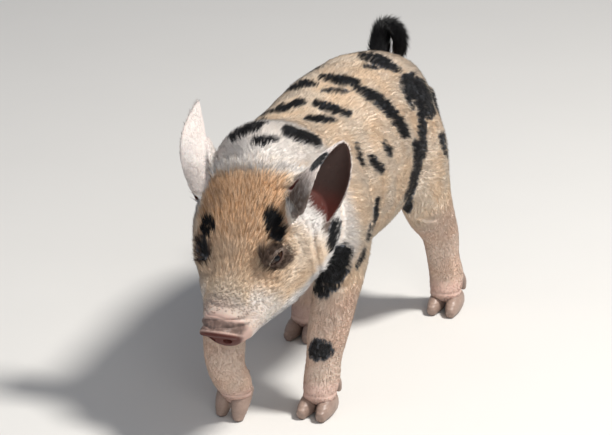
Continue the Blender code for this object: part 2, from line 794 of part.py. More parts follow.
def build():
    remove_everything()
    piglet = new_collection("piglet")
    work = new_collection("cutters")
    body = flesh(work)
    cut_face(body, work)
    nodes = []
    for sign, side in ((1, "left"), (-1, "right")):
        radii = [EYE["radius"]] * 3
        eye = ball("eye_" + side, (0, 0, 0), radii, piglet, place=eye_frame(sign),
                   segments=15)
        nodes.append((eye, "eye"))
        ear = part_off(body, "ear_" + side, ear_cutters(side, work), piglet)
        nodes.append((ear, "ear"))
    for foot in FEET:
        for kind in ("claw", "dewclaw"):
            for sign in (1, -1):
                cut_out(body, claw(foot, kind, sign, work, GAP))
                nodes.append((floored(claw(foot, kind, sign, piglet)), "claw"))
    at, reach = TAIL_CUT["at"], TAIL_CUT["radius"]
    tail = part_off(body, "tail",
                    both(lambda g: ball("tail_cut", at, [reach + g] * 3, work)), piglet)
    nodes.append((tail, "tail"))
    for leg, rows in LEG_CUTS.items():
        cutters = both(lambda g: loft("leg_cut", rows, (0, -1, 0), work, steps=2, sides=16,
                                      dome=0.3, grow=g))
        upper = part_off(body, leg + "_upper", cutters, piglet)
        nodes.append((upper, "leg"))
    middle = in_head(0, HEAD_CUT["ahead"], HEAD_CUT["height"])
    head = part_off(body, "head", both(lambda g: ball(
        "head_cut", middle, [r + g for r in HEAD_CUT["radii"]], work,
        place=head_matrix())), piglet)
    nodes.append((head, "head"))
    for leg, seed in LEG_LOWER_SEED.items():
        lower = copy_of(body, leg + "_lower", piglet)
        nodes.append((largest(lower, Vector(seed) * MM), "leg"))
    turn = Matrix.Rotation(math.radians(NECK_CUT["tilt"]), 4, "X")
    centre = Vector(NECK_CUT["at"]) - turn.to_3x3() @ Vector((0, NECK_CUT["size"][1] / 2, 0))
    torso = copy_of(body, "torso", piglet)
    torso = largest(torso)
    neck = part_off(torso, "neck", both(lambda g: box(
        "neck_cut", centre, [s + 2 * g for s in NECK_CUT["size"]], work, turn)), piglet)
    nodes += [(largest(torso), "torso"), (neck, "neck")]
    bpy.data.objects.remove(body, do_unlink=True)
    pieces = [obj for obj, kind in nodes]
    lightened(pieces, [obj for obj, kind in nodes if kind not in ("claw", "eye")])
    for obj, kind in nodes:
        finish(obj, kind)
    centred(pieces)
    bpy.data.collections.remove(work)


build()
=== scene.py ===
import json
import math
import time

import bmesh
import bpy
import numpy as np
from mathutils import Matrix, Vector
from mathutils.bvhtree import BVHTree
from mathutils.kdtree import KDTree

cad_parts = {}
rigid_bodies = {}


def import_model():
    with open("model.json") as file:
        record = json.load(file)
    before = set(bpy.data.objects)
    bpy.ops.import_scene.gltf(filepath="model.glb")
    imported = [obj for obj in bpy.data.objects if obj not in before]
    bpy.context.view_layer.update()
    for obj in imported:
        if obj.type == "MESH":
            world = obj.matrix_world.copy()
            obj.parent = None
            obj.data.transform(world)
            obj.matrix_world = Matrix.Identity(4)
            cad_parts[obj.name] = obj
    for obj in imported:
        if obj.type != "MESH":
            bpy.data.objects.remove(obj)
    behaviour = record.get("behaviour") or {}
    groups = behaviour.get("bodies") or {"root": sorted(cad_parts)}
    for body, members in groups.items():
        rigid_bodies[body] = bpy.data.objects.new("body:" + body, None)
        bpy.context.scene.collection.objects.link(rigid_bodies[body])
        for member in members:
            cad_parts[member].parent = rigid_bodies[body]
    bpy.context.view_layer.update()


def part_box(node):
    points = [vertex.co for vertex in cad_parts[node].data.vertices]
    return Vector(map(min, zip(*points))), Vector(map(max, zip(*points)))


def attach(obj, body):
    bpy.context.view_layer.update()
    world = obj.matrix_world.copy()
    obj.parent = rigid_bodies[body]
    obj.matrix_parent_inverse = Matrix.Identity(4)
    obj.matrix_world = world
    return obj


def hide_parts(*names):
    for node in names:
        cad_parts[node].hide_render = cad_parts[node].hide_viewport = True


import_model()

# The piglet faces -Y, its left side is +X and it stands on Z = 0. Forms are in millimetres.
mm = 0.001
started = time.time()


def stage(text):
    print(f"{time.time() - started:6.1f} s  {text}")


# ---- node graphs

class Wire:  # one socket that can stand in a sum
    def __init__(self, graph, socket):
        self.graph, self.socket = graph, socket


for sign, kind in dict(add="ADD", sub="SUBTRACT", mul="MULTIPLY", truediv="DIVIDE").items():
    setattr(Wire, f"__{sign}__", lambda self, other, k=kind: self.graph.maths(k, self, other))
    setattr(Wire, f"__r{sign}__", lambda self, other, k=kind: self.graph.maths(k, other, self))


class Graph:  # builds a material's or a modifier's tree
    def __init__(self, tree):
        self.tree = tree

    def node(self, kind, settings=None, inputs=None, out=0):
        made = self.tree.nodes.new(kind)
        for name, value in (settings or {}).items():
            setattr(made, name, value)
        for name, value in (inputs or {}).items():
            socket = made.inputs[name]
            if isinstance(value, Wire):
                self.tree.links.new(value.socket, socket)
            elif isinstance(value, (tuple, list)) and len(value) == 3 and socket.type == "RGBA":
                socket.default_value = (*value, 1)
            else:
                socket.default_value = value
        return Wire(self, made.outputs[out])

    def maths(self, operation, *values):
        return self.node("ShaderNodeMath", dict(operation=operation), dict(enumerate(values)))

    def vector(self, operation, *values, out=0):
        return self.node("ShaderNodeVectorMath", dict(operation=operation),
                         dict(enumerate(values)), out)

    def mix(self, factor, first, second, blend="MIX"):
        return self.node("ShaderNodeMix", dict(data_type="RGBA", blend_type=blend),
                         {0: factor, 6: first, 7: second}, 2)

    def step(self, value, low, high):  # a smooth step from 0 at low to 1 at high
        return self.node("ShaderNodeMapRange", dict(interpolation_type="SMOOTHSTEP"),
                         {"Value": value, "From Min": low, "From Max": high})

    def noise(self, place, scale, detail=2.0, rough=0.5, out=0):
        return self.node("ShaderNodeTexNoise", None, dict(
            Vector=place, Scale=scale, Detail=detail, Roughness=rough), out)

    def scaled(self, vector, amount):
        return self.node("ShaderNodeVectorMath", dict(operation="SCALE"), {0: vector, 3: amount})

    def store(self, geometry, name, kind, domain, value):
        return self.node("GeometryNodeStoreNamedAttribute", dict(data_type=kind, domain=domain),
                         dict(Geometry=geometry, Name=name, Value=value))

    def place(self):  # where the shaded point is, in the object's own space
        return self.node("ShaderNodeTexCoord", out=3)

    def value(self, name):  # a named number that the mesh carries
        return self.node("ShaderNodeAttribute", dict(attribute_name=name), out=2)


def newMaterial(name, **constants):
    material = bpy.data.materials.new(name)
    material.use_nodes = True
    graph = Graph(material.node_tree)
    surface = material.node_tree.nodes["Principled BSDF"]
    for socket, value in constants.items():
        surface.inputs[socket.replace("_", " ")].default_value = value
    return material, graph, surface


def plug(wire, surface, socket):
    wire.graph.tree.links.new(wire.socket, surface.inputs[socket])


# ---- plain mesh helpers

def inFrame(matrix, points):  # the points' x, y and z in the frame of a matrix
    matrix = np.array(matrix)
    return ((points - matrix[:3, 3]) @ matrix[:3, :3]).T


def fromFrame(matrix, points):
    return points @ np.array(matrix.to_3x3()).T + np.array(matrix.translation)


def meshObject(name, points, faces):
    mesh = bpy.data.meshes.new(name)
    mesh.from_pydata([tuple(p) for p in points], [], faces)
    obj = bpy.data.objects.new(name, mesh)
    bpy.context.scene.collection.objects.link(obj)
    return obj


def settled(obj):  # the object with its modifiers applied
    graph = bpy.context.evaluated_depsgraph_get()
    mesh = bpy.data.meshes.new_from_object(obj.evaluated_get(graph))
    obj.modifiers.clear()
    old, obj.data = obj.data, mesh
    bpy.data.meshes.remove(old)
    return obj


def joined(shapes):  # one shape from several, each its points and faces
    points, faces, count = [], [], 0
    for shapePoints, shapeFaces in shapes:
        points.append(np.asarray(shapePoints, float))
        faces += [tuple(i + count for i in face) for face in shapeFaces]
        count += len(shapePoints)
    return np.vstack(points), faces


def shapeOf(obj):
    mesh = obj.data
    return coordsOf(mesh), [tuple(face.vertices) for face in mesh.polygons]


def coordsOf(mesh):
    found = np.empty(len(mesh.vertices) * 3)
    mesh.vertices.foreach_get("co", found)
    return found.reshape(-1, 3)


def normalsOf(mesh):
    found = np.empty(len(mesh.vertices) * 3)
    mesh.vertex_normals.foreach_get("vector", found)
    return found.reshape(-1, 3)


def setCoords(mesh, points):
    mesh.vertices.foreach_set("co", np.asarray(points).ravel())
    mesh.update()


def setNumber(mesh, name, values):
    attribute = mesh.attributes.new(name, "FLOAT", "POINT")
    attribute.data.foreach_set("value", np.asarray(values, np.float32))


def setVector(mesh, name, values):
    attribute = mesh.attributes.new(name, "FLOAT_VECTOR", "POINT")
    attribute.data.foreach_set("vector", np.asarray(values, np.float32).ravel())


def ramp(value, low, high):  # smooth step from 0 at low to 1 at high, which may be below it
    t = np.clip((value - low) / (high - low), 0, 1)
    return t * t * (3 - 2 * t)


def hill(value, middle, width):  # 1 at the middle, falling off both ways
    return np.exp(-((value - middle) / width) ** 2)


def product(at, share, hills, ramps):  # a share times hills and ramps over named places
    for name, middle, width in hills:
        share = share * hill(at[name], middle, width)
    for name, low, high in ramps:
        share = share * ramp(at[name], low, high)
    return share


def blend(first, second, share):
    return first + (second - first) * share


def unit(vectors):
    return vectors / np.maximum(np.linalg.norm(vectors, axis=-1, keepdims=True), 1e-9)


def smoothRows(rows, steps):  # rows read along a Catmull-Rom curve
    rows = np.array(rows, float)
    padded = np.vstack([2 * rows[0] - rows[1], rows, 2 * rows[-1] - rows[-2]])
    found = []
    for a, b, c, d in zip(padded, padded[1:], padded[2:], padded[3:]):
        for t in np.arange(steps) / steps:
            found.append(0.5 * (2 * b + (c - a) * t + (2 * a - 5 * b + 4 * c - d) * t**2
                                + (3 * b - a - 3 * c + d) * t**3))
    return np.vstack([found, rows[-1]])


def loft(stations, ahead, steps=8, sides=40, squareness=2.1, dome=0.55, caps=5, place=None):
    rows = smoothRows(stations, steps)  # x, y, z, half width, front, back
    centres, halves = rows[:, :3], rows[:, 3:]
    tangents = unit(np.gradient(centres, axis=0))
    rings = [(centres[i], tangents[i], halves[i]) for i in range(len(rows))]
    tips = []
    for index, sign in ((0, -1), (len(rows) - 1, 1)):
        reach = dome * halves[index].mean()
        cap = []
        for turn in range(1, caps + 1):
            angle = turn / (caps + 1) * math.pi / 2
            cap.append((centres[index] + sign * reach * math.sin(angle) * tangents[index],
                        tangents[index], halves[index] * math.cos(angle)))
        rings = cap[::-1] + rings if sign < 0 else rings + cap
        tips.append(centres[index] + sign * reach * tangents[index])
    turns = 2 * math.pi * np.arange(sides) / sides
    c, s = np.cos(turns), np.sin(turns)
    aside = np.sign(c) * np.abs(c) ** (2 / squareness)
    forth = np.sign(s) * np.abs(s) ** (2 / squareness)
    points = []
    for centre, along, (half, front, back) in rings:
        up = np.array(ahead, float)
        up = unit(up - along * up.dot(along))
        across = np.cross(up, along)
        depth = np.where(s > 0, front, back)
        points.append(centre + np.outer(aside * half, across) + np.outer(forth * depth, up))
    points = np.vstack(points + [np.array(tips)])
    faces = []
    for i in range(len(rings) - 1):
        for k in range(sides):
            j = (k + 1) % sides
            faces.append((i * sides + k, i * sides + j, (i + 1) * sides + j, (i + 1) * sides + k))
    first, last = len(points) - 2, len(points) - 1
    base = (len(rings) - 1) * sides
    for k in range(sides):
        j = (k + 1) % sides
        faces.append((j, k, first))
        faces.append((base + k, base + j, last))
    return (points if place is None else fromFrame(place, points)), faces


def ballShape(centre, radii, place=None, segments=48):
    bm = bmesh.new()
    bmesh.ops.create_uvsphere(bm, u_segments=segments, v_segments=segments // 2, radius=1)
    points = np.array([v.co for v in bm.verts]) * radii + centre
    faces = [tuple(v.index for v in f.verts) for f in bm.faces]
    bm.free()
    return (points if place is None else fromFrame(place, points)), faces


# ---- the form, from the same named values as the solids

bodyForm = dict(
    trunk=[
        (-3, -116, 164, 36, 36, 36), (-3, -100, 167, 48, 49, 50), (-3, -76, 170, 56, 62, 58),
        (-4, -40, 172, 61, 66, 66), (-4, 0, 173, 62, 68, 68), (-5, 40, 175, 63, 70, 68),
        (-6, 80, 177, 61, 68, 62), (-7, 110, 180, 57, 64, 50), (-8, 135, 183, 48, 54, 42),
        (-8, 152, 184, 36, 42, 32), (-8, 164, 186, 20, 27, 22)],
    neck=[
        (-3, -50, 186, 50, 50, 50), (-3, -80, 200, 48, 42, 52), (-3, -104, 212, 44, 36, 52),
        (-3, -120, 214, 40, 30, 44)],
    tail=[
        (-16, 148, 196, 10, 10, 10), (-22, 160, 215, 8, 8, 8), (-24, 166, 232, 7, 7, 7),
        (-22, 168, 242, 6.5, 6.5, 6.5), (-15, 168, 245, 6, 6, 6), (-9, 168, 239, 5.4, 5.4, 5.4),
        (-8, 170, 229, 4.6, 4.6, 4.6), (-10, 173, 221, 3, 3, 3)],
)
legForm = dict(
    forelegLeft=[
        (32, -60, 206, 14, 28, 30), (42, -64, 172, 20, 36, 38), (43, -69, 142, 22, 34, 36),
        (42, -73, 116, 20, 26, 28), (40, -77, 93, 18, 20, 20), (36, -79.5, 68, 17, 17.5, 17.5),
        (33, -80, 48, 15, 15, 15), (32, -82, 30, 15.5, 14.5, 15.5), (32, -88, 15, 14.5, 14, 13.5)],
    forelegRight=[
        (-36, -66, 206, 14, 28, 30), (-43, -76, 172, 20, 37, 38), (-43, -86, 145, 21, 34, 34),
        (-41, -98, 118, 19, 26, 25), (-35, -119, 92, 17, 19.5, 20), (-28, -137, 68, 17, 17.5, 17.5),
        (-27, -136, 50, 16, 15, 15), (-26, -126, 34, 16, 14, 14), (-27, -115, 19, 13.5, 12, 12)],
    hindlegLeft=[
        (26, 98, 208, 18, 36, 34), (35, 102, 172, 22, 44, 38), (39, 108, 142, 22, 40, 34),
        (40, 120, 116, 19, 32, 27), (40, 136, 93, 17, 23, 20), (40, 149, 72, 16, 16, 17),
        (40, 156, 50, 15, 14, 14), (41, 162, 30, 15.5, 15, 15.5), (42, 157, 15, 14.5, 14, 13.5)],
    hindlegRight=[
        (-36, 98, 208, 18, 36, 36), (-44, 93, 172, 22, 44, 42), (-46, 85, 142, 22, 38, 38),
        (-46, 78, 116, 19, 27, 27), (-45, 76, 93, 17, 20, 20), (-44, 77, 74, 15.5, 16, 17),
        (-44, 70, 50, 14, 14, 14), (-44, 63, 30, 15, 15, 15.5), (-44, 56, 15, 14.5, 14, 13.5)],
)
hamForm = dict(
    left=[(20, 118, 196, 20, 30, 46), (22, 118, 168, 22, 32, 50), (25, 121, 142, 20, 30, 43),
          (30, 128, 116, 16, 24, 32), (36, 140, 93, 12, 14, 20)],
    right=[(-28, 112, 196, 20, 30, 46), (-30, 107, 168, 22, 32, 47), (-34, 99, 142, 20, 30, 38),
           (-40, 90, 116, 16, 24, 25), (-43, 84, 96, 12, 14, 15)],
)
# The head's own frame: x to the animal's left, s ahead along the head, z up.
headForm = dict(
    at=(2, -88, 202), yaw=-1, pitch=40, roll=-8,
    skull=[(-4, 0, 42, 42, 38), (14, 0, 51, 46, 46), (34, 0, 57, 45, 50), (54, -1, 57.5, 39, 50),
           (74, -3, 53, 33, 45), (92, -5, 45.5, 26, 38), (110, -6, 35.5, 21, 30),
           (128, -6, 24.5, 18.5, 23), (141, -4, 17.5, 16.5, 18)],
    jaw=[(40, -32, 34, 16, 27), (66, -31, 31, 16, 26), (92, -27, 25, 14, 22),
         (112, -23, 20, 11, 17), (127, -19, 15, 8, 12)],
    leanFrom=96, leanTo=146, leanAside=3.5,  # the muzzle leans to the animal's right
)
discForm = dict(ahead=146, height=-4, halfWidth=15.8, halfHeight=14.5, tilt=24,
                rim=((6, 2.2), (2.5, 0.6), (0, 0), (-2, 0.9)),
                nostrilAside=7, nostrilHeight=-1, nostrilRadii=(3.8, 8, 3.2), nostrilTurn=20)
eyeForm = dict(aside=29.5, ahead=84, height=15.5, radius=9, lid=2.2, look=(0.80, 0.40, 0.45),
               slitLength=7.2, slitHeight=2.8, slitTilt=-10)
mouthForm = dict(path=[(0, 141, -17), (8, 140, -17), (15, 134, -18), (18.5, 124, -19.5),
                       (22, 110, -21), (26.5, 95, -22), (31, 82, -19)], lip=2.2)
earForm = dict(
    # wrap: how far the leaf's front and rear margins turn round, at the root and at the tip
    left=dict(at=(38, 37, 22), length=68, lean=(55, 18, 81), cup=(0.673, -0.672, -0.307), outer=1,
              halfWidth=36, widening=0.2, wrap=((128, 70), (86, 52)), drop=14),
    right=dict(at=(-41, 31, 23), length=75, lean=(-27, 15, 95), cup=(-0.93, -0.36, 0), outer=-1,
               halfWidth=24, widening=0.95, wrap=((118, 54), (118, 54)), drop=7),
    thickness=2.6, sink=8,
    # the funnel under the leaf, and the thick root behind it: distance along the ear,
    # offset towards the cup, half width across, half depth to the cup and away from it
    funnel=0.3, narrowing=0.6, sunk=13,
    root=[(-12, -8, 24, 8, 12), (4, -5, 20, 6, 11), (18, -2, 15, 4, 8), (36, 0, 9, 2, 4)],
)


def turned(angle, axis):
    return Matrix.Rotation(math.radians(angle), 4, axis)


def headMatrix():
    yaw, pitch, roll = headForm["yaw"], headForm["pitch"], headForm["roll"]
    turn = turned(yaw, "Z") @ turned(pitch, "X") @ turned(roll, "Y")
    return Matrix.Translation(headForm["at"]) @ turn


def inHead(x, s, z):
    lean = (s - headForm["leanFrom"]) / (headForm["leanTo"] - headForm["leanFrom"])
    return Vector((x - headForm["leanAside"] * max(lean, 0), -s, z))


def headSpace(points):  # x, s and z of points given in millimetres
    x, y, z = inFrame(headMatrix(), points)
    return x, -y, z


def discMatrix():
    return (headMatrix() @ Matrix.Translation(inHead(0, discForm["ahead"], discForm["height"]))
            @ turned(discForm["tilt"], "X"))


def eyeMatrix(sign):  # z looks out, x runs to the outer corner
    look = Vector((sign * eyeForm["look"][0], -eyeForm["look"][1], eyeForm["look"][2])).normalized()
    tilt = math.radians(eyeForm["slitTilt"])
    slit = Vector((0, math.cos(tilt), math.sin(tilt)))
    slit = (slit - look * slit.dot(look)).normalized()
    turn = Matrix((slit, look.cross(slit), look)).transposed().to_4x4()
    centre = inHead(sign * eyeForm["aside"], eyeForm["ahead"], eyeForm["height"])
    return headMatrix() @ Matrix.Translation(centre) @ turn


def earAxes(side):  # root, along, into the cup, across
    spec = earForm[side]
    along = Vector(spec["lean"]).normalized()
    cup = Vector(spec["cup"])
    cup = (cup - along * cup.dot(along)).normalized()
    root = headMatrix() @ inHead(*spec["at"])
    return [np.array(v) for v in (root, along, cup, along.cross(cup))]


def nearEar(points, root, along, reach):  # which points lie round the leaf of that ear
    return np.linalg.norm(points - root - along * 30, axis=1) < reach


def earPoints(side, rows=56, columns=32):  # the cupped leaf of an ear, as a grid
    root, along, cup, across = earAxes(side)
    spec = earForm[side]
    inward = unit(np.array(headMatrix() @ inHead(0, spec["at"][1], 0)) - root)
    grid = []
    for i in range(rows + 1):
        v = (1 + earForm["funnel"]) * i / rows - earForm["funnel"]
        leaf, below = max(v, 0), max(-v, 0) / earForm["funnel"]
        halfArc = spec["halfWidth"] * (1 + spec["widening"] * leaf) * (1 - leaf**2.4) ** 0.8 + 1.2
        front, rear = [math.radians(a + (b - a) * leaf) for a, b in spec["wrap"]]
        radius = halfArc / ((front + rear) / 2)
        narrow = radius * (1 - earForm["narrowing"] * below)
        turn = spec["outer"] * ((front + rear) * np.arange(columns + 1) / columns - front)
        height = (spec["length"] * v - earForm["sink"] * np.cos(turn / 2)
                  - spec["outer"] * spec["drop"] * np.sin(turn) * (1 - leaf))
        centre = root + cup * radius + inward * earForm["sunk"] * below
        grid.append(centre + np.outer(narrow * np.sin(turn), across)
                    - np.outer(narrow * np.cos(turn), cup) + np.outer(height, along))
    return np.array(grid)


def earShape(side):
    grid = earPoints(side)
    rows, columns = grid.shape[0], grid.shape[1]
    points = grid.reshape(-1, 3)
    faces = [(i * columns + j, i * columns + j + 1, (i + 1) * columns + j + 1, (i + 1) * columns + j)
             for i in range(rows - 1) for j in range(columns - 1)]
    sheet = meshObject("ear sheet", points, faces)
    wall = sheet.modifiers.new("wall", "SOLIDIFY")
    wall.thickness, wall.offset = earForm["thickness"], 0
    shape = shapeOf(settled(sheet))
    bpy.data.objects.remove(sheet)
    return shape


def mouthPath(steps=6):
    left = smoothRows(mouthForm["path"], steps)
    path = np.vstack([left[:0:-1] * (-1, 1, 1), left])
    return np.array([inHead(*p) for p in path])


def fuse(name, shapes, voxel, rounds, finer=False):
    obj = meshObject(name, *joined(shapes))
    remesh = obj.modifiers.new("fuse", "REMESH")
    remesh.mode, remesh.voxel_size = "VOXEL", voxel
    ease = obj.modifiers.new("ease", "SMOOTH")
    ease.factor, ease.iterations = 0.5, rounds
    if finer:
        rounder = obj.modifiers.new("rounder", "SUBSURF")
        rounder.levels = rounder.render_levels = 1
    return settled(obj)


# Everything so far is in the frame of the named values; the solids stand a little aside
# from it, so that their box is centred. An eye shows by how much.
low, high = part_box("eye_left")
shift = (Vector(low) + Vector(high)) / 2 - eyeMatrix(1).translation * mm
shift.z = 0
stage(f"solids stand {shift.x / mm:.2f}, {shift.y / mm:.2f} mm aside")

# ---- camera, floor and light

viewSpec = dict(azimuth=24, elevation=24, distance=2.75, focalPixels=3420,
                target=(33, -92, 0), targetPixel=(318, 416), imageSize=(612, 435))


def cameraBasis():
    a, e = math.radians(viewSpec["azimuth"]), math.radians(viewSpec["elevation"])
    back = Vector((math.sin(a) * math.cos(e), -math.cos(a) * math.cos(e), math.sin(e)))
    right = Vector((math.cos(a), math.sin(a), 0))
    return right, back.cross(right), back


def placeCamera():
    right, up, back = cameraBasis()
    spot = Vector(viewSpec["target"]) * mm + shift + back * viewSpec["distance"]
    wide, high = viewSpec["imageSize"]
    px, py = viewSpec["targetPixel"]
    focal = viewSpec["focalPixels"]
    ahead = (-back + right * ((wide / 2 - px) / focal) - up * ((high / 2 - py) / focal)).normalized()
    side = ahead.cross(up).normalized()
    top = side.cross(ahead)
    camera = bpy.data.cameras.new("camera")
    camera.sensor_width = 36
    camera.lens = 36 * focal * math.hypot(1, (high / 2 - py) / focal) / wide
    camera.clip_start, camera.clip_end = 0.05, 60
    holder = bpy.data.objects.new("camera", camera)
    holder.matrix_world = Matrix.Translation(spot) @ Matrix((side, top, -ahead)).transposed().to_4x4()
    bpy.context.scene.collection.objects.link(holder)
    bpy.context.scene.camera = holder
    return holder


camera = placeCamera()


def pixelRay(px, py):  # camera point and direction, in metres
    wide, high = viewSpec["imageSize"]
    focal = camera.data.lens * wide / 36
    turn = camera.matrix_world.to_3x3()
    way = turn @ Vector(((px - wide / 2) / focal, (high / 2 - py) / focal, -1))
    return camera.matrix_world.translation, way.normalized()


def layFloor():
    half = 3.0
    corners = [(-half, -half, 0), (half, -half, 0), (half, half, 0), (-half, half, 0)]
    floor = meshObject("floor", corners, [(0, 1, 2, 3)])
    material, graph, surface = newMaterial("pale floor", Roughness=0.9)
    place = graph.place()
    grain = graph.noise(place, 9.0, 3)
    plug(graph.mix(grain * 0.5, (0.70, 0.69, 0.67), (0.66, 0.65, 0.63)), surface, "Base Color")
    floor.data.materials.append(material)


layFloor()

lightSpec = dict(
    key=dict(at=(1.15, 0.0, 1.95), size=0.4, power=62, colour=(1, 0.97, 0.92)),
    fill=dict(at=(-1.3, -1.8, 0.9), size=1.8, power=4, colour=(0.92, 0.95, 1)),
    front=dict(at=(1.4, -2.1, 1.5), size=1.2, power=17, colour=(1, 0.99, 0.97)),
    aim=(0, 0, 0.13), sky=0.26, skyColour=(0.86, 0.90, 1, 1),
)


def placeLights():
    for name in ("key", "fill", "front"):
        spec = lightSpec[name]
        lamp = bpy.data.lights.new(name, "AREA")
        lamp.shape, lamp.size = "DISK", spec["size"]
        lamp.energy, lamp.color = spec["power"], spec["colour"]
        holder = bpy.data.objects.new(name, lamp)
        holder.location = spec["at"]
        way = Vector(lightSpec["aim"]) - Vector(spec["at"])
        holder.rotation_euler = way.to_track_quat("-Z", "Y").to_euler()
        bpy.context.scene.collection.objects.link(holder)
    world = bpy.data.worlds.new("studio")
    bpy.context.scene.world = world
    world.use_nodes = True
    sky = world.node_tree.nodes["Background"]
    sky.inputs["Color"].default_value = lightSpec["skyColour"]
    sky.inputs["Strength"].default_value = lightSpec["sky"]


placeLights()
bpy.context.scene.view_settings.view_transform = "Standard"
stage("camera, floor and light")

# ---- the skin

skinSpec = dict(
    coarse=2.5, coarseRounds=14, fine=0.95, fineRounds=4,
    triangles=188000,
    coatDepth=dict(body=1.6, head=1.0, leg=0.9, ear=0.25, tail=0.6),
)


def bodyShapes():
    head = headMatrix()
    up, front = (0, 0, 1), (0, -1, 0)
    skull = [(*inHead(0, s, z), side, top, bottom) for s, z, side, top, bottom in headForm["skull"]]
    jaw = [(*inHead(0, s, z), side, top, bottom) for s, z, side, top, bottom in headForm["jaw"]]
    shapes = [loft(bodyForm["trunk"], up, squareness=2.3), loft(bodyForm["neck"], up),
              loft(skull, up, squareness=2.25, place=head), loft(jaw, up, place=head)]
    for rows in (*legForm.values(), *hamForm.values()):
        shapes.append(loft(rows, front))
    return shapes


def headShapes():
    head = headMatrix()
    shapes = [loft(bodyForm["tail"], (0, 1, 0), sides=24), earShape("left"), earShape("right")]
    for side in ("left", "right"):
        root, along, cup = earAxes(side)[:3]
        rows = [(*(root + along * d + cup * offset), wide, front, back)
                for d, offset, wide, front, back in earForm["root"]]
        shapes.append(loft(rows, cup))
    lid = eyeForm["radius"] + eyeForm["lid"]
    shapes += [ballShape((0, 0, 0), (lid, lid, lid), eyeMatrix(sign)) for sign in (1, -1)]
    rim = [(0, y, 0, discForm["halfWidth"] - inset, discForm["halfHeight"] - inset,
            discForm["halfHeight"] - inset) for y, inset in discForm["rim"]]
    shapes.append(loft(rim, (0, 0, 1), squareness=2.3, dome=0.06, place=discMatrix()))
    for lift in (2.6, -2.6):  # the lips
        rows = [(*(p + (0, 0, lift)), *[mouthForm["lip"]] * 3) for p in mouthPath(3)]
        shapes.append(loft(rows, (0, 0, 1), steps=1, sides=14, place=head))
    return shapes


def polylineDistance(points, line):
    best = np.full(len(points), 1e9)
    line = np.asarray(line, float)
    for a, b in zip(line, line[1:]):
        span = b - a
        t = np.clip(((points - a) @ span) / max(span @ span, 1e-9), 0, 1)
        best = np.minimum(best, np.linalg.norm(points - a - t[:, None] * span, axis=1))
    return best


def pointTree(points):
    tree = KDTree(len(points))
    for k, spot in enumerate(points):
        tree.insert(spot, k)
    tree.balance()
    return tree


def nearestDistance(points, others):
    tree = pointTree(others)
    return np.array([tree.find(spot)[2] for spot in points])


partSpec = dict(  # millimetres, but for the edge of the head's egg
    headMiddle=(0, 92, 5), headRadii=(98, 94, 64), headEdge=(1.12, 0.92),
    legReach=(34, 26), legHeight=(136, 98),
    earMiddle=35, earRound=62, earRoot=(-12, -4), earReach=(8, 4),
    tailAlong=(150, 156), tailHeight=(216, 224),
)


def regionWeights(points):  # how much each point belongs to each part
    spec = partSpec
    inside = sum(((value - middle) / radius) ** 2 for value, middle, radius
                 in zip(headSpace(points), spec["headMiddle"], spec["headRadii"]))
    head = ramp(inside, *spec["headEdge"])
    legs = np.zeros(len(points))
    for rows in legForm.values():
        axis = smoothRows(rows, 3)[:, :3]
        reach = polylineDistance(points, axis)
        low = ramp(points[:, 2], *spec["legHeight"])
        legs = np.maximum(legs, ramp(reach, *spec["legReach"]) * low)
    ears = np.zeros(len(points))
    for side in ("left", "right"):
        root, along = earAxes(side)[:2]
        leaf = earPoints(side)[14::2, ::2].reshape(-1, 3)
        reach = np.linalg.norm(points - root - along * spec["earMiddle"], axis=1)
        close = np.nonzero(reach < spec["earRound"])[0]
        share = (ramp((points[close] - root) @ along, *spec["earRoot"])
                 * ramp(nearestDistance(points[close], leaf), *spec["earReach"]))
        ears[close] = np.maximum(ears[close], share)
    tail = ramp(points[:, 1], *spec["tailAlong"]) * ramp(points[:, 2], *spec["tailHeight"])
    legs *= 1 - head
    head = head * (1 - ears)
    return dict(head=head, leg=legs, ear=ears, tail=tail,
                body=np.clip(1 - head - legs - ears - tail, 0, 1))


def waves(points, size, seed, count=6):  # a soft noise in numpy, about -1 to 1
    rng = np.random.default_rng(seed)
    total = np.zeros(len(points))
    for _ in range(count):
        way = rng.normal(size=3)
        way *= rng.uniform(0.6, 1.6) / np.linalg.norm(way)
        total += np.sin(points @ way * (2 * math.pi / size) + rng.uniform(0, 6.28))
    return total / 3.2


def eyeSpace(points, sign):  # along the slit, up and out, in millimetres
    u, v, w = inFrame(eyeMatrix(sign), points)
    return u, sign * v, w


creaseSpec = dict(
    # creases seen from the camera, as pixels, with their depth and half width in mm
    seen=[(1.8, 2.2, (309, 219), (312, 232), (313, 248), (316, 266), (319, 284)),
          (1.1, 1.6, (318, 284), (334, 289), (351, 287)),
          (1.2, 2.0, (367, 238), (372, 224), (377, 208)),
          (1.3, 2.4, (414, 219), (427, 222), (441, 219)),
          (0.8, 1.4, (296, 214), (303, 224), (307, 236)),
          (0.7, 1.3, (352, 262), (346, 276), (336, 284))],
    step=1.0,
)


def discSpace(points):  # aside, behind the disc's face and up
    return inFrame(discMatrix(), points)


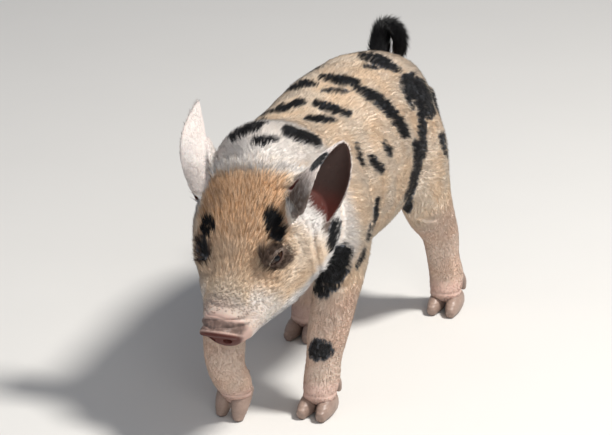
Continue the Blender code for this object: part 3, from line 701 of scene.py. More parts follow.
# Folds of the skin, each a height in millimetres over hills (place, middle, width) and ramps
# (place, from, to). Places on the head: x aside, s ahead, z up; aside, behind and up of the disc.
faceFolds = [
    # grooves behind the disc, and the puffed skin between them
    (-1.0, [("wander", 4.2, 1.0)], [("up", -10, 0)]),
    (0.5, [("wander", 6.6, 1.6)], [("up", -8, 2)]),
    (-1.2, [("wander", 9.6, 1.1)], [("up", -6, 4)]),
    (-0.6, [("slanted", 12.6, 0.8)], [("z", -12, 0)]),
    (-0.5, [("parting", 0, 1.0)], [("behind", 1, 5), ("behind", 12, 8), ("z", -12, 0)]),
    (-0.8, [("arc", 130, 1.3)], [("z", -12, 0), ("wide", 20, 12)]),
    (-0.5, [("arc", 124.5, 1.4)], [("z", -12, 0), ("wide", 18, 9)]),
    (-0.35, [("arch", 118, 1.4)], [("z", -12, 0), ("wide", 16, 7)]),
    # upper lip, hollow before the cheek, cheek, bone under the eye, mouth's corner
    (0.9, [("s", 118, 14), ("z", -10, 7)], [("wide", 8, 18)]),
    (-1.3, [("s", 100, 11), ("z", -8, 9)], [("wide", 16, 30)]),
    (2.2, [("s", 62, 20), ("z", -16, 15)], [("wide", 26, 42)]),
    (0.9, [("z", 0, 5), ("s", 72, 22)], [("wide", 30, 42)]),
    (-1.0, [("z", -20, 4), ("s", 79, 6)], [("wide", 20, 28)]),
    # the brow's parting and its two mounds, sides of the bridge
    (-0.7, [("x", 0, 4)], [("s", 16, 34), ("s", 92, 70), ("z", 6, 16)]),
    (0.9, [("wide", 17, 9), ("s", 44, 20)], [("z", 10, 22)]),
    (-0.8, [("wide", 20, 6), ("s", 100, 16)], [("z", 0, 10)]),
]
eyeFolds = [  # u along the slit, v up, w out: socket, roll over the lid, creases, inner corner
    (-1.5, [("ring", 15.5, 3.6)], [("w", -6, 2)]),
    (1.8, [("v", 13.5, 3.4), ("u", 0, 12)], [("w", -6, 2)]),
    (-0.9, [("over", 8, 1.1), ("u", 0, 9)], [("w", -6, 2)]),
    (-0.7, [("under", -7.6, 1.1), ("u", 0, 8)], [("w", -6, 2)]),
    (-0.6, [("under", -11, 1.2), ("u", 1, 8)], [("w", -6, 2)]),
    (-0.9, [("corner", 0, 2.6)], [("w", -6, 2)]),
]
bodyFolds = [  # shoulder blade, hollow behind it, hollow before the thigh, hip
    (1.6, [("y", -66, 16), ("z", 190, 20)], [("wide", 22, 40)]),
    (-1.3, [("y", -42, 8), ("z", 176, 26)], [("wide", 26, 42)]),
    (-1.2, [("y", 62, 9), ("z", 150, 20)], [("wide", 26, 42)]),
    (1.2, [("y", 96, 18), ("z", 186, 16)], [("wide", 22, 40)]),
]
ribForm = dict(height=0.35, spacing=15, along=(46, 20), aside=(34, 50), middle=164, width=22)
legFolds = dict(knee=(0.9, 13, (1, 1, 0.7)), ankle=(0.5, 12, (1, 1, 0.8)),
                pastern=((10, 0.5), (17, 0.35)), pasternWidth=1.5, pasternReach=(26, 30))


def sculptHead(points):
    x, s, z = headSpace(points)
    across, behind, up = discSpace(points)
    wander = behind + 0.9 * waves(points, 17, 5) - 0.012 * across**2
    at = dict(x=x, s=s, z=z, wide=np.abs(x), behind=behind, up=up, wander=wander,
              slanted=wander + 0.2 * across, parting=across + 1.5 * waves(points, 11, 9),
              arc=s + 0.02 * x**2, arch=s + 0.03 * x**2)
    out = sum(product(at, *fold) for fold in faceFolds)
    for sign in (1, -1):
        u, v, w = eyeSpace(points, sign)
        at = dict(u=u, v=v, w=w, ring=np.hypot(u / 1.3, v), over=v + 0.03 * u**2,
                  under=v - 0.03 * u**2, corner=np.hypot(u + 11.5, v + 1.5))
        for fold in eyeFolds:
            out = out + product(at, *fold)
    return out


def sculptBody(points):
    x, y, z = points.T
    at = dict(y=y, z=z, wide=np.abs(x))
    out = 0.5 * waves(points, 46, 21) * ramp(z, 60, 110)
    for fold in bodyFolds:
        out += product(at, *fold)
    out += (ribForm["height"] * np.sin(y * 2 * math.pi / ribForm["spacing"])
            * ramp(np.abs(y), *ribForm["along"]) * ramp(np.abs(x), *ribForm["aside"])
            * hill(z, ribForm["middle"], ribForm["width"]))
    across, high = legFolds["pasternReach"]
    for rows in legForm.values():
        for joint, row in (("knee", 5), ("ankle", 7)):
            height, width, shape = legFolds[joint]
            middle = np.array(rows[row][:3])
            out += height * hill(np.linalg.norm((points - middle) * shape, axis=1), 0, width)
        close = np.linalg.norm(points[:, :2] - middle[:2], axis=1) < across
        close = close * (np.abs(z - middle[2]) < high)
        for lift, depth in legFolds["pastern"]:
            out -= depth * hill(z - middle[2] + lift, 0, legFolds["pasternWidth"]) * close
    return out


def sculptCreases(obj, points):
    tree = BVHTree.FromObject(obj, bpy.context.evaluated_depsgraph_get())
    out = np.zeros(len(points))
    for depth, width, *line in creaseSpec["seen"]:
        spots = []
        for a, b in zip(line, line[1:]):
            count = int(math.dist(a, b) / creaseSpec["step"])
            for k in range(count + 1):
                at = [a[i] + (b[i] - a[i]) * k / count for i in (0, 1)]
                start, way = pixelRay(*at)
                hit = tree.ray_cast((start - shift) / mm, way)
                if hit[0] is not None:
                    spots.append(np.array(hit[0]))
        spots = np.array(spots)
        low, high = spots.min(axis=0) - 12, spots.max(axis=0) + 12
        near = np.nonzero(((points > low) & (points < high)).all(axis=1))[0]
        reach = nearestDistance(points[near], spots)
        end = np.minimum(np.linalg.norm(points[near] - spots[0], axis=1),
                         np.linalg.norm(points[near] - spots[-1], axis=1))
        out[near] -= depth * hill(reach, 0, width) * ramp(end, 0, 8)
        out[near] += 0.35 * depth * hill(reach, 2.4 * width, width) * ramp(end, 0, 12)
    return out


def buildSkin():
    base = fuse("flesh", bodyShapes(), skinSpec["coarse"], skinSpec["coarseRounds"], finer=True)
    shapes = [shapeOf(base)] + headShapes()
    bpy.data.objects.remove(base)
    skin = fuse("skin", shapes, skinSpec["fine"], skinSpec["fineRounds"])
    stage(f"skin fused, {len(skin.data.polygons)} faces")
    points, normals = coordsOf(skin.data), normalsOf(skin.data)
    parts = regionWeights(points)
    depth = sum(parts[name] * amount for name, amount in skinSpec["coatDepth"].items())
    depth *= 1 - ramp(headSpace(points)[1], 128, 140) * parts["head"]
    trunk = 1 - parts["head"] - parts["ear"]
    carved = (sculptHead(points) * parts["head"] + sculptBody(points) * trunk
              + sculptCreases(skin, points))
    points = points + normals * (carved - depth)[:, None]
    setCoords(skin.data, points)
    return skin


skin = buildSkin()


def cutOut(obj, shapes):  # takes closed shapes out of a closed mesh
    for points, faces in shapes:
        cutter = meshObject("cutter", points, faces)
        bm = bmesh.new()
        bm.from_mesh(cutter.data)
        bmesh.ops.recalc_face_normals(bm, faces=bm.faces)
        bm.to_mesh(cutter.data)
        bm.free()
        cut = obj.modifiers.new("cut", "BOOLEAN")
        cut.operation, cut.object, cut.solver = "DIFFERENCE", cutter, "MANIFOLD"
        settled(obj)
        bpy.data.objects.remove(cutter)


def mouthPlate():  # a thin plate along the mouth's line
    path = mouthPath()
    reach, depth, half = 9, 4, 0.45
    along = unit(np.gradient(path, axis=0))
    out = unit(np.cross(along, (0, 0, 1)))
    up = np.array((0, 0, half))
    rings = [path + out * reach + up, path - out * depth + up, path - out * depth - up,
             path + out * reach - up]
    count = len(path)
    points = np.vstack(rings)
    faces = [(k * count + i, k * count + i + 1, (k + 1) % 4 * count + i + 1, (k + 1) % 4 * count + i)
             for k in range(4) for i in range(count - 1)]
    faces += [tuple(k * count for k in range(4)), tuple(k * count + count - 1 for k in (3, 2, 1, 0))]
    return fromFrame(headMatrix(), points), faces


def faceOpenings():
    shapes = [mouthPlate()]
    for sign in (1, -1):
        turn = turned(sign * discForm["nostrilTurn"], "Y")
        centre = (sign * discForm["nostrilAside"], -2, discForm["nostrilHeight"])
        shapes.append(ballShape((0, 0, 0), discForm["nostrilRadii"],
                                discMatrix() @ Matrix.Translation(centre) @ turn))
        radii = (eyeForm["slitLength"], eyeForm["slitHeight"], eyeForm["radius"] + 4)
        shapes.append(ballShape((0, 0, eyeForm["radius"]), radii, eyeMatrix(sign)))
        shapes.append(ballShape((0, 0, 0), [eyeForm["radius"] + 0.2] * 3, eyeMatrix(sign)))
    return shapes


cutOut(skin, faceOpenings())
stage("mouth, nostrils and lids opened")


def thinSkin(obj):  # fewer triangles, most of them kept on the head
    points = coordsOf(obj.data)
    parts = regionWeights(points)
    low = ramp(points[:, 2], 60, 40)
    fine = np.clip(parts["head"] + parts["ear"] + parts["tail"] + low, 0, 1)
    group = obj.vertex_groups.new(name="plain")
    for level in (0.35, 1.0):
        chosen = np.nonzero((fine > 0.5) == (level < 1))[0]
        group.add(chosen.tolist(), level, "REPLACE")
    count = sum(len(face.vertices) - 2 for face in obj.data.polygons)
    fewer = obj.modifiers.new("fewer", "DECIMATE")
    fewer.ratio = skinSpec["triangles"] / count
    fewer.vertex_group = "plain"
    fewer.vertex_group_factor = 0.00002
    obj.modifiers.new("three-sided", "TRIANGULATE")
    settled(obj)
    obj.vertex_groups.clear()
    obj.data.shade_smooth()


thinSkin(skin)
stage(f"skin thinned to {len(skin.data.polygons)} triangles")
skinPoints = coordsOf(skin.data)  # still in the named values' millimetres
setCoords(skin.data, skinPoints * mm + np.array(shift))
skinNormals = normalsOf(skin.data)
skinTree = BVHTree.FromObject(skin, bpy.context.evaluated_depsgraph_get())


# ---- markings

spotSpec = dict(
    # strokes seen from the camera, as pixels of the picture, with their width in pixels
    seen=[
        (8, (232, 137), (264, 122)), (6, (255, 141), (275, 139)), (10, (286, 130), (318, 142)),
        (8, (279, 109), (287, 107)), (8, (294, 104), (302, 102)), (5, (307, 118), (335, 120)),
        (8, (316, 103), (348, 114)), (5, (301, 82), (316, 84)), (8, (322, 77), (357, 82)),
        (4, (324, 90), (347, 91)),
        (10, (358, 88), (370, 94), (383, 103), (394, 116), (402, 126), (406, 134)),
        (9, (362, 55), (378, 59.5), (397, 69)), (3, (364, 66), (378, 68)),
        (20, (409, 81), (421, 94), (431, 100), (429, 111)),
        (8, (421, 106), (423, 126), (423, 142), (423, 156)), (3, (404, 91), (413, 109)),
        (7, (442, 136), (450, 158)), (3, (438, 104), (439, 112)),
        (7.6, (416, 143), (418, 165), (413, 182), (408, 197), (407, 210)),
        (3, (357, 144), (363, 165)), (7, (371, 158), (382, 170)), (5, (385, 143), (391, 154)),
        (3.5, (378, 198), (376, 215), (367, 240)), (10, (336, 223), (331, 246)),
        (20, (345, 252), (338, 268), (322, 290)), (3, (365, 250), (357, 267)),
        (20, (317, 350), (323, 350)), (15, (271, 213), (274, 222), (279, 233)),
        (12, (209, 220), (207, 231)), (9, (203, 240), (202, 256)),
        (5, (312, 168), (319, 161), (325, 155)),
    ],
    seenStep=0.6, farthest=2.95,  # metres from the camera
    # the hairy root and the cup's floor of the left ear, seen from the camera: places painted as
    # shade
    earRoot=[(9, (288, 203), (297, 193), (304, 182)), (8, (294, 215), (302, 205))],
    cupFloor=[(9, (310, 190), (312, 203), (318, 210), (327, 212))],
    # strokes on the far flank, as y and z in millimetres with their width
    far=[
        (9, (-70, 232), (-58, 214)), (7, (-42, 238), (-30, 226)), (8, (14, 238), (30, 228)),
        (11, (-20, 216), (-6, 196), (0, 180)), (12, (30, 205), (42, 182), (46, 166)),
        (6, (-52, 190), (-46, 176)),
        (9, (62, 236), (78, 222)), (14, (84, 200), (96, 176), (94, 158)), (8, (10, 160), (20, 146)),
        (7, (116, 224), (130, 210)), (10, (-80, 176), (-76, 152)), (6, (62, 150), (70, 138)),
        (8, (120, 170), (128, 150)), (6, (-18, 150), (-8, 140)), (9, (-74, 118), (-80, 104)),
    ],
    farStep=0.8,
    # strokes behind, as x and z in millimetres with their width
    behind=[(14, (22, 196), (30, 176)), (9, (-30, 200), (-36, 182)), (8, (-46, 150), (-48, 134)),
            (7, (34, 132), (38, 118))],
)


def insideStroke(px, py, width, line):  # narrower towards both ends, with an uneven edge
    middle = (line[0] + line[-1]) / 2
    half = max(np.linalg.norm(line[-1] - line[0]) / 2, width / 4)
    along = np.hypot(px - middle[0], py - middle[1]) / (half + width / 2)
    uneven = 0.14 * np.sin(px * 0.9 + py * 0.35) + 0.1 * np.sin(py * 1.3 - px * 0.5)
    radius = width / 2 * (1.1 - 0.5 * np.clip(along, 0, 1) ** 2 + uneven)
    return polylineDistance(np.column_stack([px, py]), line) < radius


def skinUnder(strokes, step, ray, farthest=1e9):  # points of the skin that strokes cover
    found = []
    for width, *line in strokes:
        line = np.array(line, float)
        low, high = line.min(axis=0) - width / 2, line.max(axis=0) + width / 2
        a, b = np.meshgrid(np.arange(low[0], high[0], step), np.arange(low[1], high[1], step))
        a, b = a.ravel(), b.ravel()
        keep = insideStroke(a, b, width, line)
        for spot in zip(a[keep], b[keep]):
            hit = skinTree.ray_cast(*ray(*spot))
            if hit[0] is not None and hit[3] < farthest:
                found.append(np.array(hit[0]))
    return found


def seenPoints(name):  # points under strokes as the camera sees them
    return skinUnder(spotSpec[name], spotSpec["seenStep"], pixelRay, spotSpec["farthest"])


def seenSpots(name):  # the same, in the named values' millimetres
    return (np.array(seenPoints(name)) - np.array(shift)) / mm


def fromTheRight(y, z):
    return Vector((-0.3, y * mm + shift.y, z * mm)), Vector((1, 0, 0))


def fromBehind(x, z):
    return Vector((x * mm + shift.x, 0.4, z * mm)), Vector((0, -1, 0))


def strokePoints():  # points that cover the dark marks on the skin
    step = spotSpec["farStep"]
    return (seenPoints("seen") + skinUnder(spotSpec["far"], step, fromTheRight)
            + skinUnder(spotSpec["behind"], step, fromBehind))


darkTree = pointTree(strokePoints())


def darkNumber(points):  # distance to the dark marks in millimetres; the tail is dark all over
    dark = np.array([darkTree.find(spot)[2] for spot in points * mm + np.array(shift)]) / mm
    tail = ramp(points[:, 1], 148, 156) * ramp(points[:, 2], 212, 222)
    return np.where(tail > 0.3, 0.0, dark)


def facingMiddle(points, middle, along, height):  # how far the skin faces a cup's middle line
    return (unit(middle + np.outer(height, along) - points) * skinNormals).sum(axis=1)


# the cup's floor is painted dark red as shade
def cupFloor(points):  # 1 on the floor of the left ear's cup
    spots = seenSpots("cupFloor")
    floor = np.zeros(len(points))
    close = np.nonzero(np.linalg.norm(points - spots.mean(axis=0), axis=1) < 30)[0]
    floor[close] = ramp(nearestDistance(points[close], spots), 2.4, 1)
    return floor


# Shares of colour on the skin, over hills (place, middle, width) and ramps (place, from, to).
paintSpec = dict(
    tanOnCheek=[(0.45, [("s", 97, 12), ("z", -6, 9)], [("wide", 14, 26)]),
                (0.3, [("s", 66, 12), ("z", -2, 12)], [("wide", 34, 46)])],
    ash=(0.6, [], [("s", 92, 122), ("s", 134, 126), ("z", -6, 6), ("wide", 26, 12)]),
    paleOnHead=[(1, [], [("z", -4, -24)]), (0.85, [], [("s", 78, 48), ("wide", 32, 46)]),
                (1, [], [("start", 36, 27), ("z", 0, 14)]), (0.45, [], [("s", 112, 128)]),
                (0.55, [], [("s", 96, 116), ("wide", 12, 24)]),
                (0.5, [("wide", 44, 9), ("s", 58, 14)], [("z", 6, 16)])],
    paleOnBody=[(0.7, [], [("py", -25, -140), ("pz", 172, 216)]),
                (0.62, [], [("py", -66, -88), ("pz", 112, 150)])],
    paleEar=0.9, flushEar=0.34, flushLeg=0.5, flushFoot=0.75,
    # painted shade on the ears' backs: strong on the left ear, a light brown-grey on the right
    earShadeAndBrown=dict(left=(0.8, 0.2), right=(0.35, 0.0)),  # on the ears' backs, at base and tip
    # painted shade, with some brown-grey hair, under the left ear's root
    rootShadeAndBrown=0.75, cupMiddle=17,
)


def paintSkin():
    mesh, points, spec = skin.data, skinPoints, paintSpec
    x, s, z = headSpace(points)
    py, pz = points[:, 1], points[:, 2]
    parts = regionWeights(points)
    head, ear = parts["head"], parts["ear"]
    wide = np.abs(x + 2)
    start = s + 0.08 * x
    at = dict(s=s, z=z, wide=wide, start=start, py=py, pz=pz)
    setNumber(mesh, "dark", darkNumber(points))
    # tan: strong on the brow, thinner down the bridge, and in streaks on the cheeks
    brow = ramp(start, 22, 42) * (1 - 0.45 * ramp(s, 50, 92)) * ramp(s, 124, 98)
    brow *= ramp(wide - 0.2 * s, 34, 20) * ramp(z, -8, 12)
    cheeks = [product(at, *patch) for patch in spec["tanOnCheek"]]
    setNumber(mesh, "tan", np.clip(np.maximum.reduce([brow, *cheeks]) * head, 0, 1))
    # ash: the grey-beige of the lower bridge
    setNumber(mesh, "ash", head * product(at, *spec["ash"]))
    # pale: the band behind the brow, the shoulders, the neck's sides and the jowls
    pale = [head * product(at, *patch) for patch in spec["paleOnHead"]]
    pale += [(1 - head) * product(at, *patch) for patch in spec["paleOnBody"]]
    pale += [0.4 * ramp(pz, 128, 112) * parts["body"], spec["paleEar"] * ear]
    setNumber(mesh, "pale", np.clip(np.maximum.reduce(pale), 0, 1))
    # flush: bare pink skin of the snout, ears, legs and feet
    snout = head * np.maximum(0.4 * ramp(s, 112, 132), 0.8 * ramp(s, 131, 138))
    flush = [snout, spec["flushEar"] * ear, spec["flushFoot"] * ramp(pz, 52, 22),
             spec["flushLeg"] * parts["leg"]]
    setNumber(mesh, "flush", np.clip(np.maximum.reduce(flush), 0, 1))
    # the disc's face: moist dark red skin, painted darker as shade; worn: the grey skin behind it
    across, behind, up = discSpace(points)
    around = np.hypot(across / 16, up / 15)
    setNumber(mesh, "wet", head * ramp(behind, 1.4, -0.6) * ramp(around, 1.3, 0.98))
    worn = np.maximum(ramp(behind, 13, 9) * ramp(behind, 0.8, 2.4), 0.3 * ramp(s, 116, 128))
    setNumber(mesh, "worn", head * worn * ramp(up, -8, 0))
    # brown-grey round the eyes, and brown-grey painted shade on the ears' backs and under the left
    # ear's root; cup: the inside of the ears, painted dark red and umber as shade
    shadeAndBrown, cup, tall = np.zeros((3, len(points)))
    for sign in (1, -1):
        u, v, w = eyeSpace(points, sign)
        shadeAndBrown = np.maximum(shadeAndBrown, ramp(np.hypot((u + 1) / 1.2, v + 0.5), 13, 8.5) * ramp(w, -8, 0))
    # painted shade on the ears' backs, strongest at the left ear's base
    for name, shades in spec["earShadeAndBrown"].items():
        root, along, inward = earAxes(name)[:3]
        near = nearEar(points, root, along, 66)
        height = (points - root) @ along
        facing = facingMiddle(points, root + inward * spec["cupMiddle"], along, height)
        within = ramp(facing, -0.1, 0.4) * near * ramp(ear, 0.1, 0.5)
        shade = blend(*shades, ramp(height, 12, 52))
        shadeAndBrown = np.maximum(shadeAndBrown, shade * near * ramp(ear, 0.0, 0.6) * (1 - within))
        cup = np.maximum(cup, within)
        tall = np.where(near, ramp(height, -6, 46), tall)
    # painted shade, with some brown-grey hair, under the left ear's root where the strokes lie
    rooted = ramp(nearestDistance(points, seenSpots("earRoot")), 5, -1)
    shadeAndBrown = np.maximum(np.clip(shadeAndBrown, 0, 1), spec["rootShadeAndBrown"] * rooted)
    # the cup's floor takes the cups' painted shade instead of the brown-grey
    floor = cupFloor(points)
    setNumber(mesh, "shadeAndBrown", shadeAndBrown * (1 - floor))
    setNumber(mesh, "cup", np.maximum(cup, floor))
    setNumber(mesh, "height", tall)
    return parts


skinParts = paintSkin()
stage("markings laid")

coatColours = dict(
    cream=(0.71, 0.60, 0.49), peach=(0.74, 0.575, 0.42), white=(0.74, 0.71, 0.69),
    tan=(0.62, 0.36, 0.19), ash=(0.42, 0.37, 0.32), straw=(0.74, 0.60, 0.45),
    # the brown below is the ring round the eyes, and also painted shade on the ears' backs and under
    # the left ear's root
    pink=(0.60, 0.41, 0.35), brown=(0.085, 0.055, 0.040), worn=(0.14, 0.092, 0.077),
    # painted shade on the next line: the disc's dark red face, partly its own moist colour, and the
    # dark red and umber of the ears' cups
    wet=(0.075, 0.011, 0.006), shadedCupRed=(0.075, 0.014, 0.009), shadedCupUmber=(0.035, 0.013, 0.009),
    black=(0.003, 0.003, 0.004), blue=(0.085, 0.09, 0.105),
    # the shade that each number of the skin brings, the step it comes in by, and its wander
    patches=[("pale", "white", 0.2, 0.8, 0.5), ("tan", "tan", 0.15, 0.95, 0.6),
             ("ash", "ash", 0.2, 0.9, 0.5)],
)


def coatColour(graph, place, tone=None):  # the coat's colour from what the mesh carries
    shades = coatColours
    soft = graph.noise(place, 38, 4)
    fine = graph.noise(place, 300, 3)
    colour = graph.mix(graph.step(soft, 0.38, 0.62), shades["cream"], shades["peach"])
    for name, shade, low, high, wander in shades["patches"]:
        amount = graph.step(graph.value(name) + (fine * 0.6 + soft * 0.4 - 0.5) * wander, low, high)
        colour = graph.mix(amount, colour, shades[shade])
    if tone is not None:  # pale hairs stand among the tan ones
        pale = graph.step(tone, 0.45, 0.8) * 0.6 * graph.step(graph.value("tan"), 0.0, 0.4)
        colour = graph.mix(pale, colour, shades["straw"])
    flush = graph.step(graph.value("flush") + (soft - 0.5) * 0.4, 0.1, 0.9)
    colour = graph.mix(flush, colour, shades["pink"])
    colour = graph.mix(graph.value("worn") * (0.5 + fine), colour, shades["worn"])
    # the disc's face: moist dark red skin with painted shade
    colour = graph.mix(graph.value("wet"), colour, shades["wet"])
    # brown-grey round the eyes, and painted shade on the ears' backs and root
    shadeAndBrown = graph.step(graph.value("shadeAndBrown") + (fine - 0.5) * 0.7, 0.15, 0.95)
    colour = graph.mix(shadeAndBrown, colour, shades["brown"])
    # painted shade in the ears' cups: dark red, turning umber up the ear
    height = graph.step(graph.value("height") + (soft - 0.5) * 0.5, 0.1, 0.75)
    colour = graph.mix(graph.value("cup"), colour, graph.mix(height, shades["shadedCupRed"], shades["shadedCupUmber"]))
    if tone is None:  # dark skin shows blue round the black hair
        edge = graph.value("dark") + (fine - 0.5) * 2.0
        colour = graph.mix(1 - graph.step(edge, 1.2, 3.0), colour, shades["blue"])
        return graph.mix(1 - graph.step(edge, 0.0, 1.0), colour, shades["black"]), fine
    edge = graph.value("dark") - graph.value("strand") * 2.0
    return graph.mix(1 - graph.step(edge, 0.3, 0.8), colour, shades["black"]), fine


def skinMaterial():
    material, graph, surface = newMaterial("piglet skin", Roughness=0.55, Subsurface_Weight=0.08,
                                           Subsurface_Scale=0.004, Specular_IOR_Level=0.35)
    surface.inputs["Subsurface Radius"].default_value = (1.0, 0.35, 0.2)
    place = graph.place()
    colour, fine = coatColour(graph, place)
    plug(colour, surface, "Base Color")
    pores = graph.noise(place, 900, 2)
    bump = graph.node("ShaderNodeBump", None, dict(Strength=0.35, Distance=0.0004,
                                                   Height=pores * 0.4 + fine * 0.6))
    plug(bump, surface, "Normal")
    return material


skin.data.materials.clear()
skin.data.materials.append(skinMaterial())
fleshNodes = ["torso", "neck", "head", "tail", "ear_left", "ear_right"]
fleshNodes += [f"{leg}_{side}_{part}" for leg in ("foreleg", "hindleg")
               for side in ("left", "right") for part in ("upper", "lower")]
skin.name = "skin"
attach(skin, "root")
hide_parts(*fleshNodes)
stage("skin dressed")

# ---- the lie of the coat

coatSpec = dict(
    lift=dict(body=10, head=10, leg=7, ear=4, tail=24),
    swirl=0.22,
    # hair length in millimetres: the first, then what turns to what, by ramps (place, from, to)
    lengths=dict(
        body=(10, (10, 9, [("z", 215, 170)]), (9, 7, [("z", 140, 112)])),
        leg=(7, (7, 4.6, [("z", 110, 60)]), (4.6, 3.2, [("z", 40, 24)])),
        head=(12.5, (12.5, 10.5, [("s", 60, 95)]), (10.5, 3.0, [("s", 98, 128)]),
              (12.5, 9, [("wide", 24, 44), ("s", 96, 80)]),
              (9, 7, [("hz", -14, -34), ("s", 96, 80)])),
        ear=(4.2,),
        tail=(11,),
    ),
)


def headWays(points):  # directions along the face, for each point
    x, s, z = headSpace(points)
    side = ramp(np.abs(x), 26, 46) * ramp(z, 14, -8)
    local = np.column_stack([
        0.012 * x + 0.004 * x * ramp(s, 20, 60),
        np.full(len(points), 1.0),
        -0.28 * side - 0.10 * ramp(s, 60, 110),
    ])
    matrix = np.array(headMatrix())[:3, :3]
    return unit(local @ matrix.T)


def lengthBy(at, part):  # hair length on one part, from its first value through its changes
    first, *changes = coatSpec["lengths"][part]
    length = first
    for before, after, ramps in changes:
        length = length + product(at, after - before, [], ramps)
    return length


def layCoat():
    mesh = skin.data
    points, normals, parts = skinPoints, skinNormals, skinParts
    y, z = points[:, 1], points[:, 2]
    trunkWay = np.column_stack([np.zeros(len(y)), np.ones(len(y)), np.full(len(y), -0.32)])
    trunkWay[:, 0] = waves(points, 90, 3) * 0.12
    legWay = np.column_stack([np.zeros(len(y)), np.full(len(y), 0.22), np.full(len(y), -1.0)])
    legShare = np.clip(parts["leg"] + ramp(z, 150, 112) * parts["body"], 0, 1)[:, None]
    way = trunkWay * (1 - legShare) + legWay * legShare
    way = way * (1 - parts["head"][:, None]) + headWays(points) * parts["head"][:, None]
    for side in ("left", "right"):
        root, along, cup, across = earAxes(side)
        near = nearEar(points, root, along, 70)
        mine = (parts["ear"] * near)[:, None]
        spread = across * ((points - root) @ across)[:, None] * 0.012
        way = way * (1 - mine) + (along + spread) * mine
    tailRows = smoothRows(bodyForm["tail"], 6)[:, :3]
    steps = unit(np.gradient(tailRows, axis=0))
    nearest = np.argmin(((points[:, None, :] - tailRows[None, ::2]) ** 2).sum(axis=2), axis=1) * 2
    tailShare = parts["tail"][:, None]
    way = way * (1 - tailShare) + steps[np.minimum(nearest, len(steps) - 1)] * tailShare
    turn = coatSpec["swirl"] * waves(points, 34, 7)
    way = way - normals * (way * normals).sum(axis=1, keepdims=True)
    way = unit(way)
    way = unit(way + np.cross(normals, way) * turn[:, None])
    setVector(mesh, "lie", way)
    setVector(mesh, "rise", normals)

    x, s, hz = headSpace(points)
    at = dict(wide=np.abs(x), s=s, hz=hz, z=z)
    long = sum(share * lengthBy(at, name) for name, share in parts.items())
    setNumber(mesh, "long", long)
    lift = sum(parts[name] * angle for name, angle in coatSpec["lift"].items())
    setNumber(mesh, "lift", np.radians(lift))
    return way, long


coatWays, coatLong = layCoat()


def bareShare(points):  # 1 where no coat grows
    s, behind = headSpace(points)[1], discSpace(points)[1]
    bare = np.maximum(ramp(s, 128, 138), ramp(behind, 12, 6) * ramp(s, 110, 120)) * skinParts["head"]
    for sign in (1, -1):
        u, v, w = eyeSpace(points, sign)
        bare = np.maximum(bare, ramp(np.hypot(u / 8.6, v / 4.6), 1.12, 1.0) * ramp(w, -2, 2))
    path = fromFrame(headMatrix(), mouthPath())
    bare = np.maximum(bare, ramp(polylineDistance(points, path), 2.6, 1.8))
    bare = np.maximum(bare, 0.95 * cupFloor(points))
    for side in ("left", "right"):  # the inside of the cups
        root, along, cup = earAxes(side)[:3]
        near = nearEar(points, root, along, 70)
        middle = root + cup * paintSpec["cupMiddle"]
        within = ramp(facingMiddle(points, middle, along, (points - middle) @ along), 0.1, 0.5)
        bare = np.maximum(bare, 0.86 * within * near * ramp(skinParts["ear"], 0.2, 0.6))
    return bare


def unwrapPlaces():  # a chart for each side of each body part
    mesh = skin.data
    count = len(mesh.polygons)
    corners = np.empty(count * 3, np.int32)
    mesh.loops.foreach_get("vertex_index", corners)
    corners = corners.reshape(-1, 3)
    names = list(skinParts)
    share = np.array([skinParts[name][corners].mean(axis=1) for name in names])
    region = share.argmax(axis=0)
    leg = region == names.index("leg")
    middle = skinPoints[corners].mean(axis=1)
    region[leg] = 10 + (middle[leg, 0] > 0) + 2 * (middle[leg, 1] > 20)
    ear = region == names.index("ear")
    region[ear] = 20 + (middle[ear, 0] > 0)
    normal = skinNormals[corners].mean(axis=1)
    axis = np.abs(normal).argmax(axis=1)
    facing = normal[np.arange(count), axis] > 0
    chart = region * 6 + axis * 2 + facing
    flat = np.zeros((count, 3, 2))
    boxes = []
    for key in np.unique(chart):
        mine = np.nonzero(chart == key)[0]
        keep = [k for k in range(3) if k != axis[mine[0]]]
        spots = skinPoints[corners[mine]][:, :, keep]
        spots = spots - spots.reshape(-1, 2).min(axis=0)
        flat[mine] = spots
        wide, high = spots.reshape(-1, 2).max(axis=0)
        boxes.append((high, wide, key))
    boxes.sort(reverse=True)
    gap = 3.0  # millimetres between charts
    for side in np.arange(300, 1600, 10):  # millimetres, the smallest square that holds all charts
        across = up = row = 0.0
        placed = {}
        for high, wide, key in boxes:
            if across + wide + gap > side:
                across, up, row = 0.0, up + row, 0.0
            placed[key] = (across + gap / 2, up + gap / 2)
            across += wide + gap
            row = max(row, high + gap)
        if up + row <= side:
            break
    for key, corner in placed.items():
        flat[chart == key] += corner
    flat = flat / side
    attribute = mesh.attributes.new("place", "FLOAT2", "CORNER")
    attribute.data.foreach_set("vector", flat.astype(np.float32).ravel())


unwrapPlaces()
stage("coat's lie and places laid")

# ---- tufts

tuftForm = dict(hairs=5, kinds=4, spread=1.7, gather=0.2, radius=(0.105, 0.145), share=(0.6, 1.0),
                sink=-0.22, bend=0.5, taper=0.45, rootJitter=0.06, tipJitter=0.22)


def tuftHairs(seed):  # place aside at root and tip, length share, radius, tone
    rng = np.random.default_rng(seed)
    count = tuftForm["hairs"]
    roots = (np.arange(count) - (count - 1) / 2) * tuftForm["spread"] / count
    roots = roots + rng.normal(0, tuftForm["rootJitter"], count)
    tips = roots * (1 - tuftForm["gather"]) + rng.normal(0, tuftForm["tipJitter"], count)
    shares = rng.uniform(*tuftForm["share"], count)
    radii = rng.uniform(*tuftForm["radius"], count)
    return list(zip(roots, tips, shares, radii, rng.uniform(0, 1, count)))


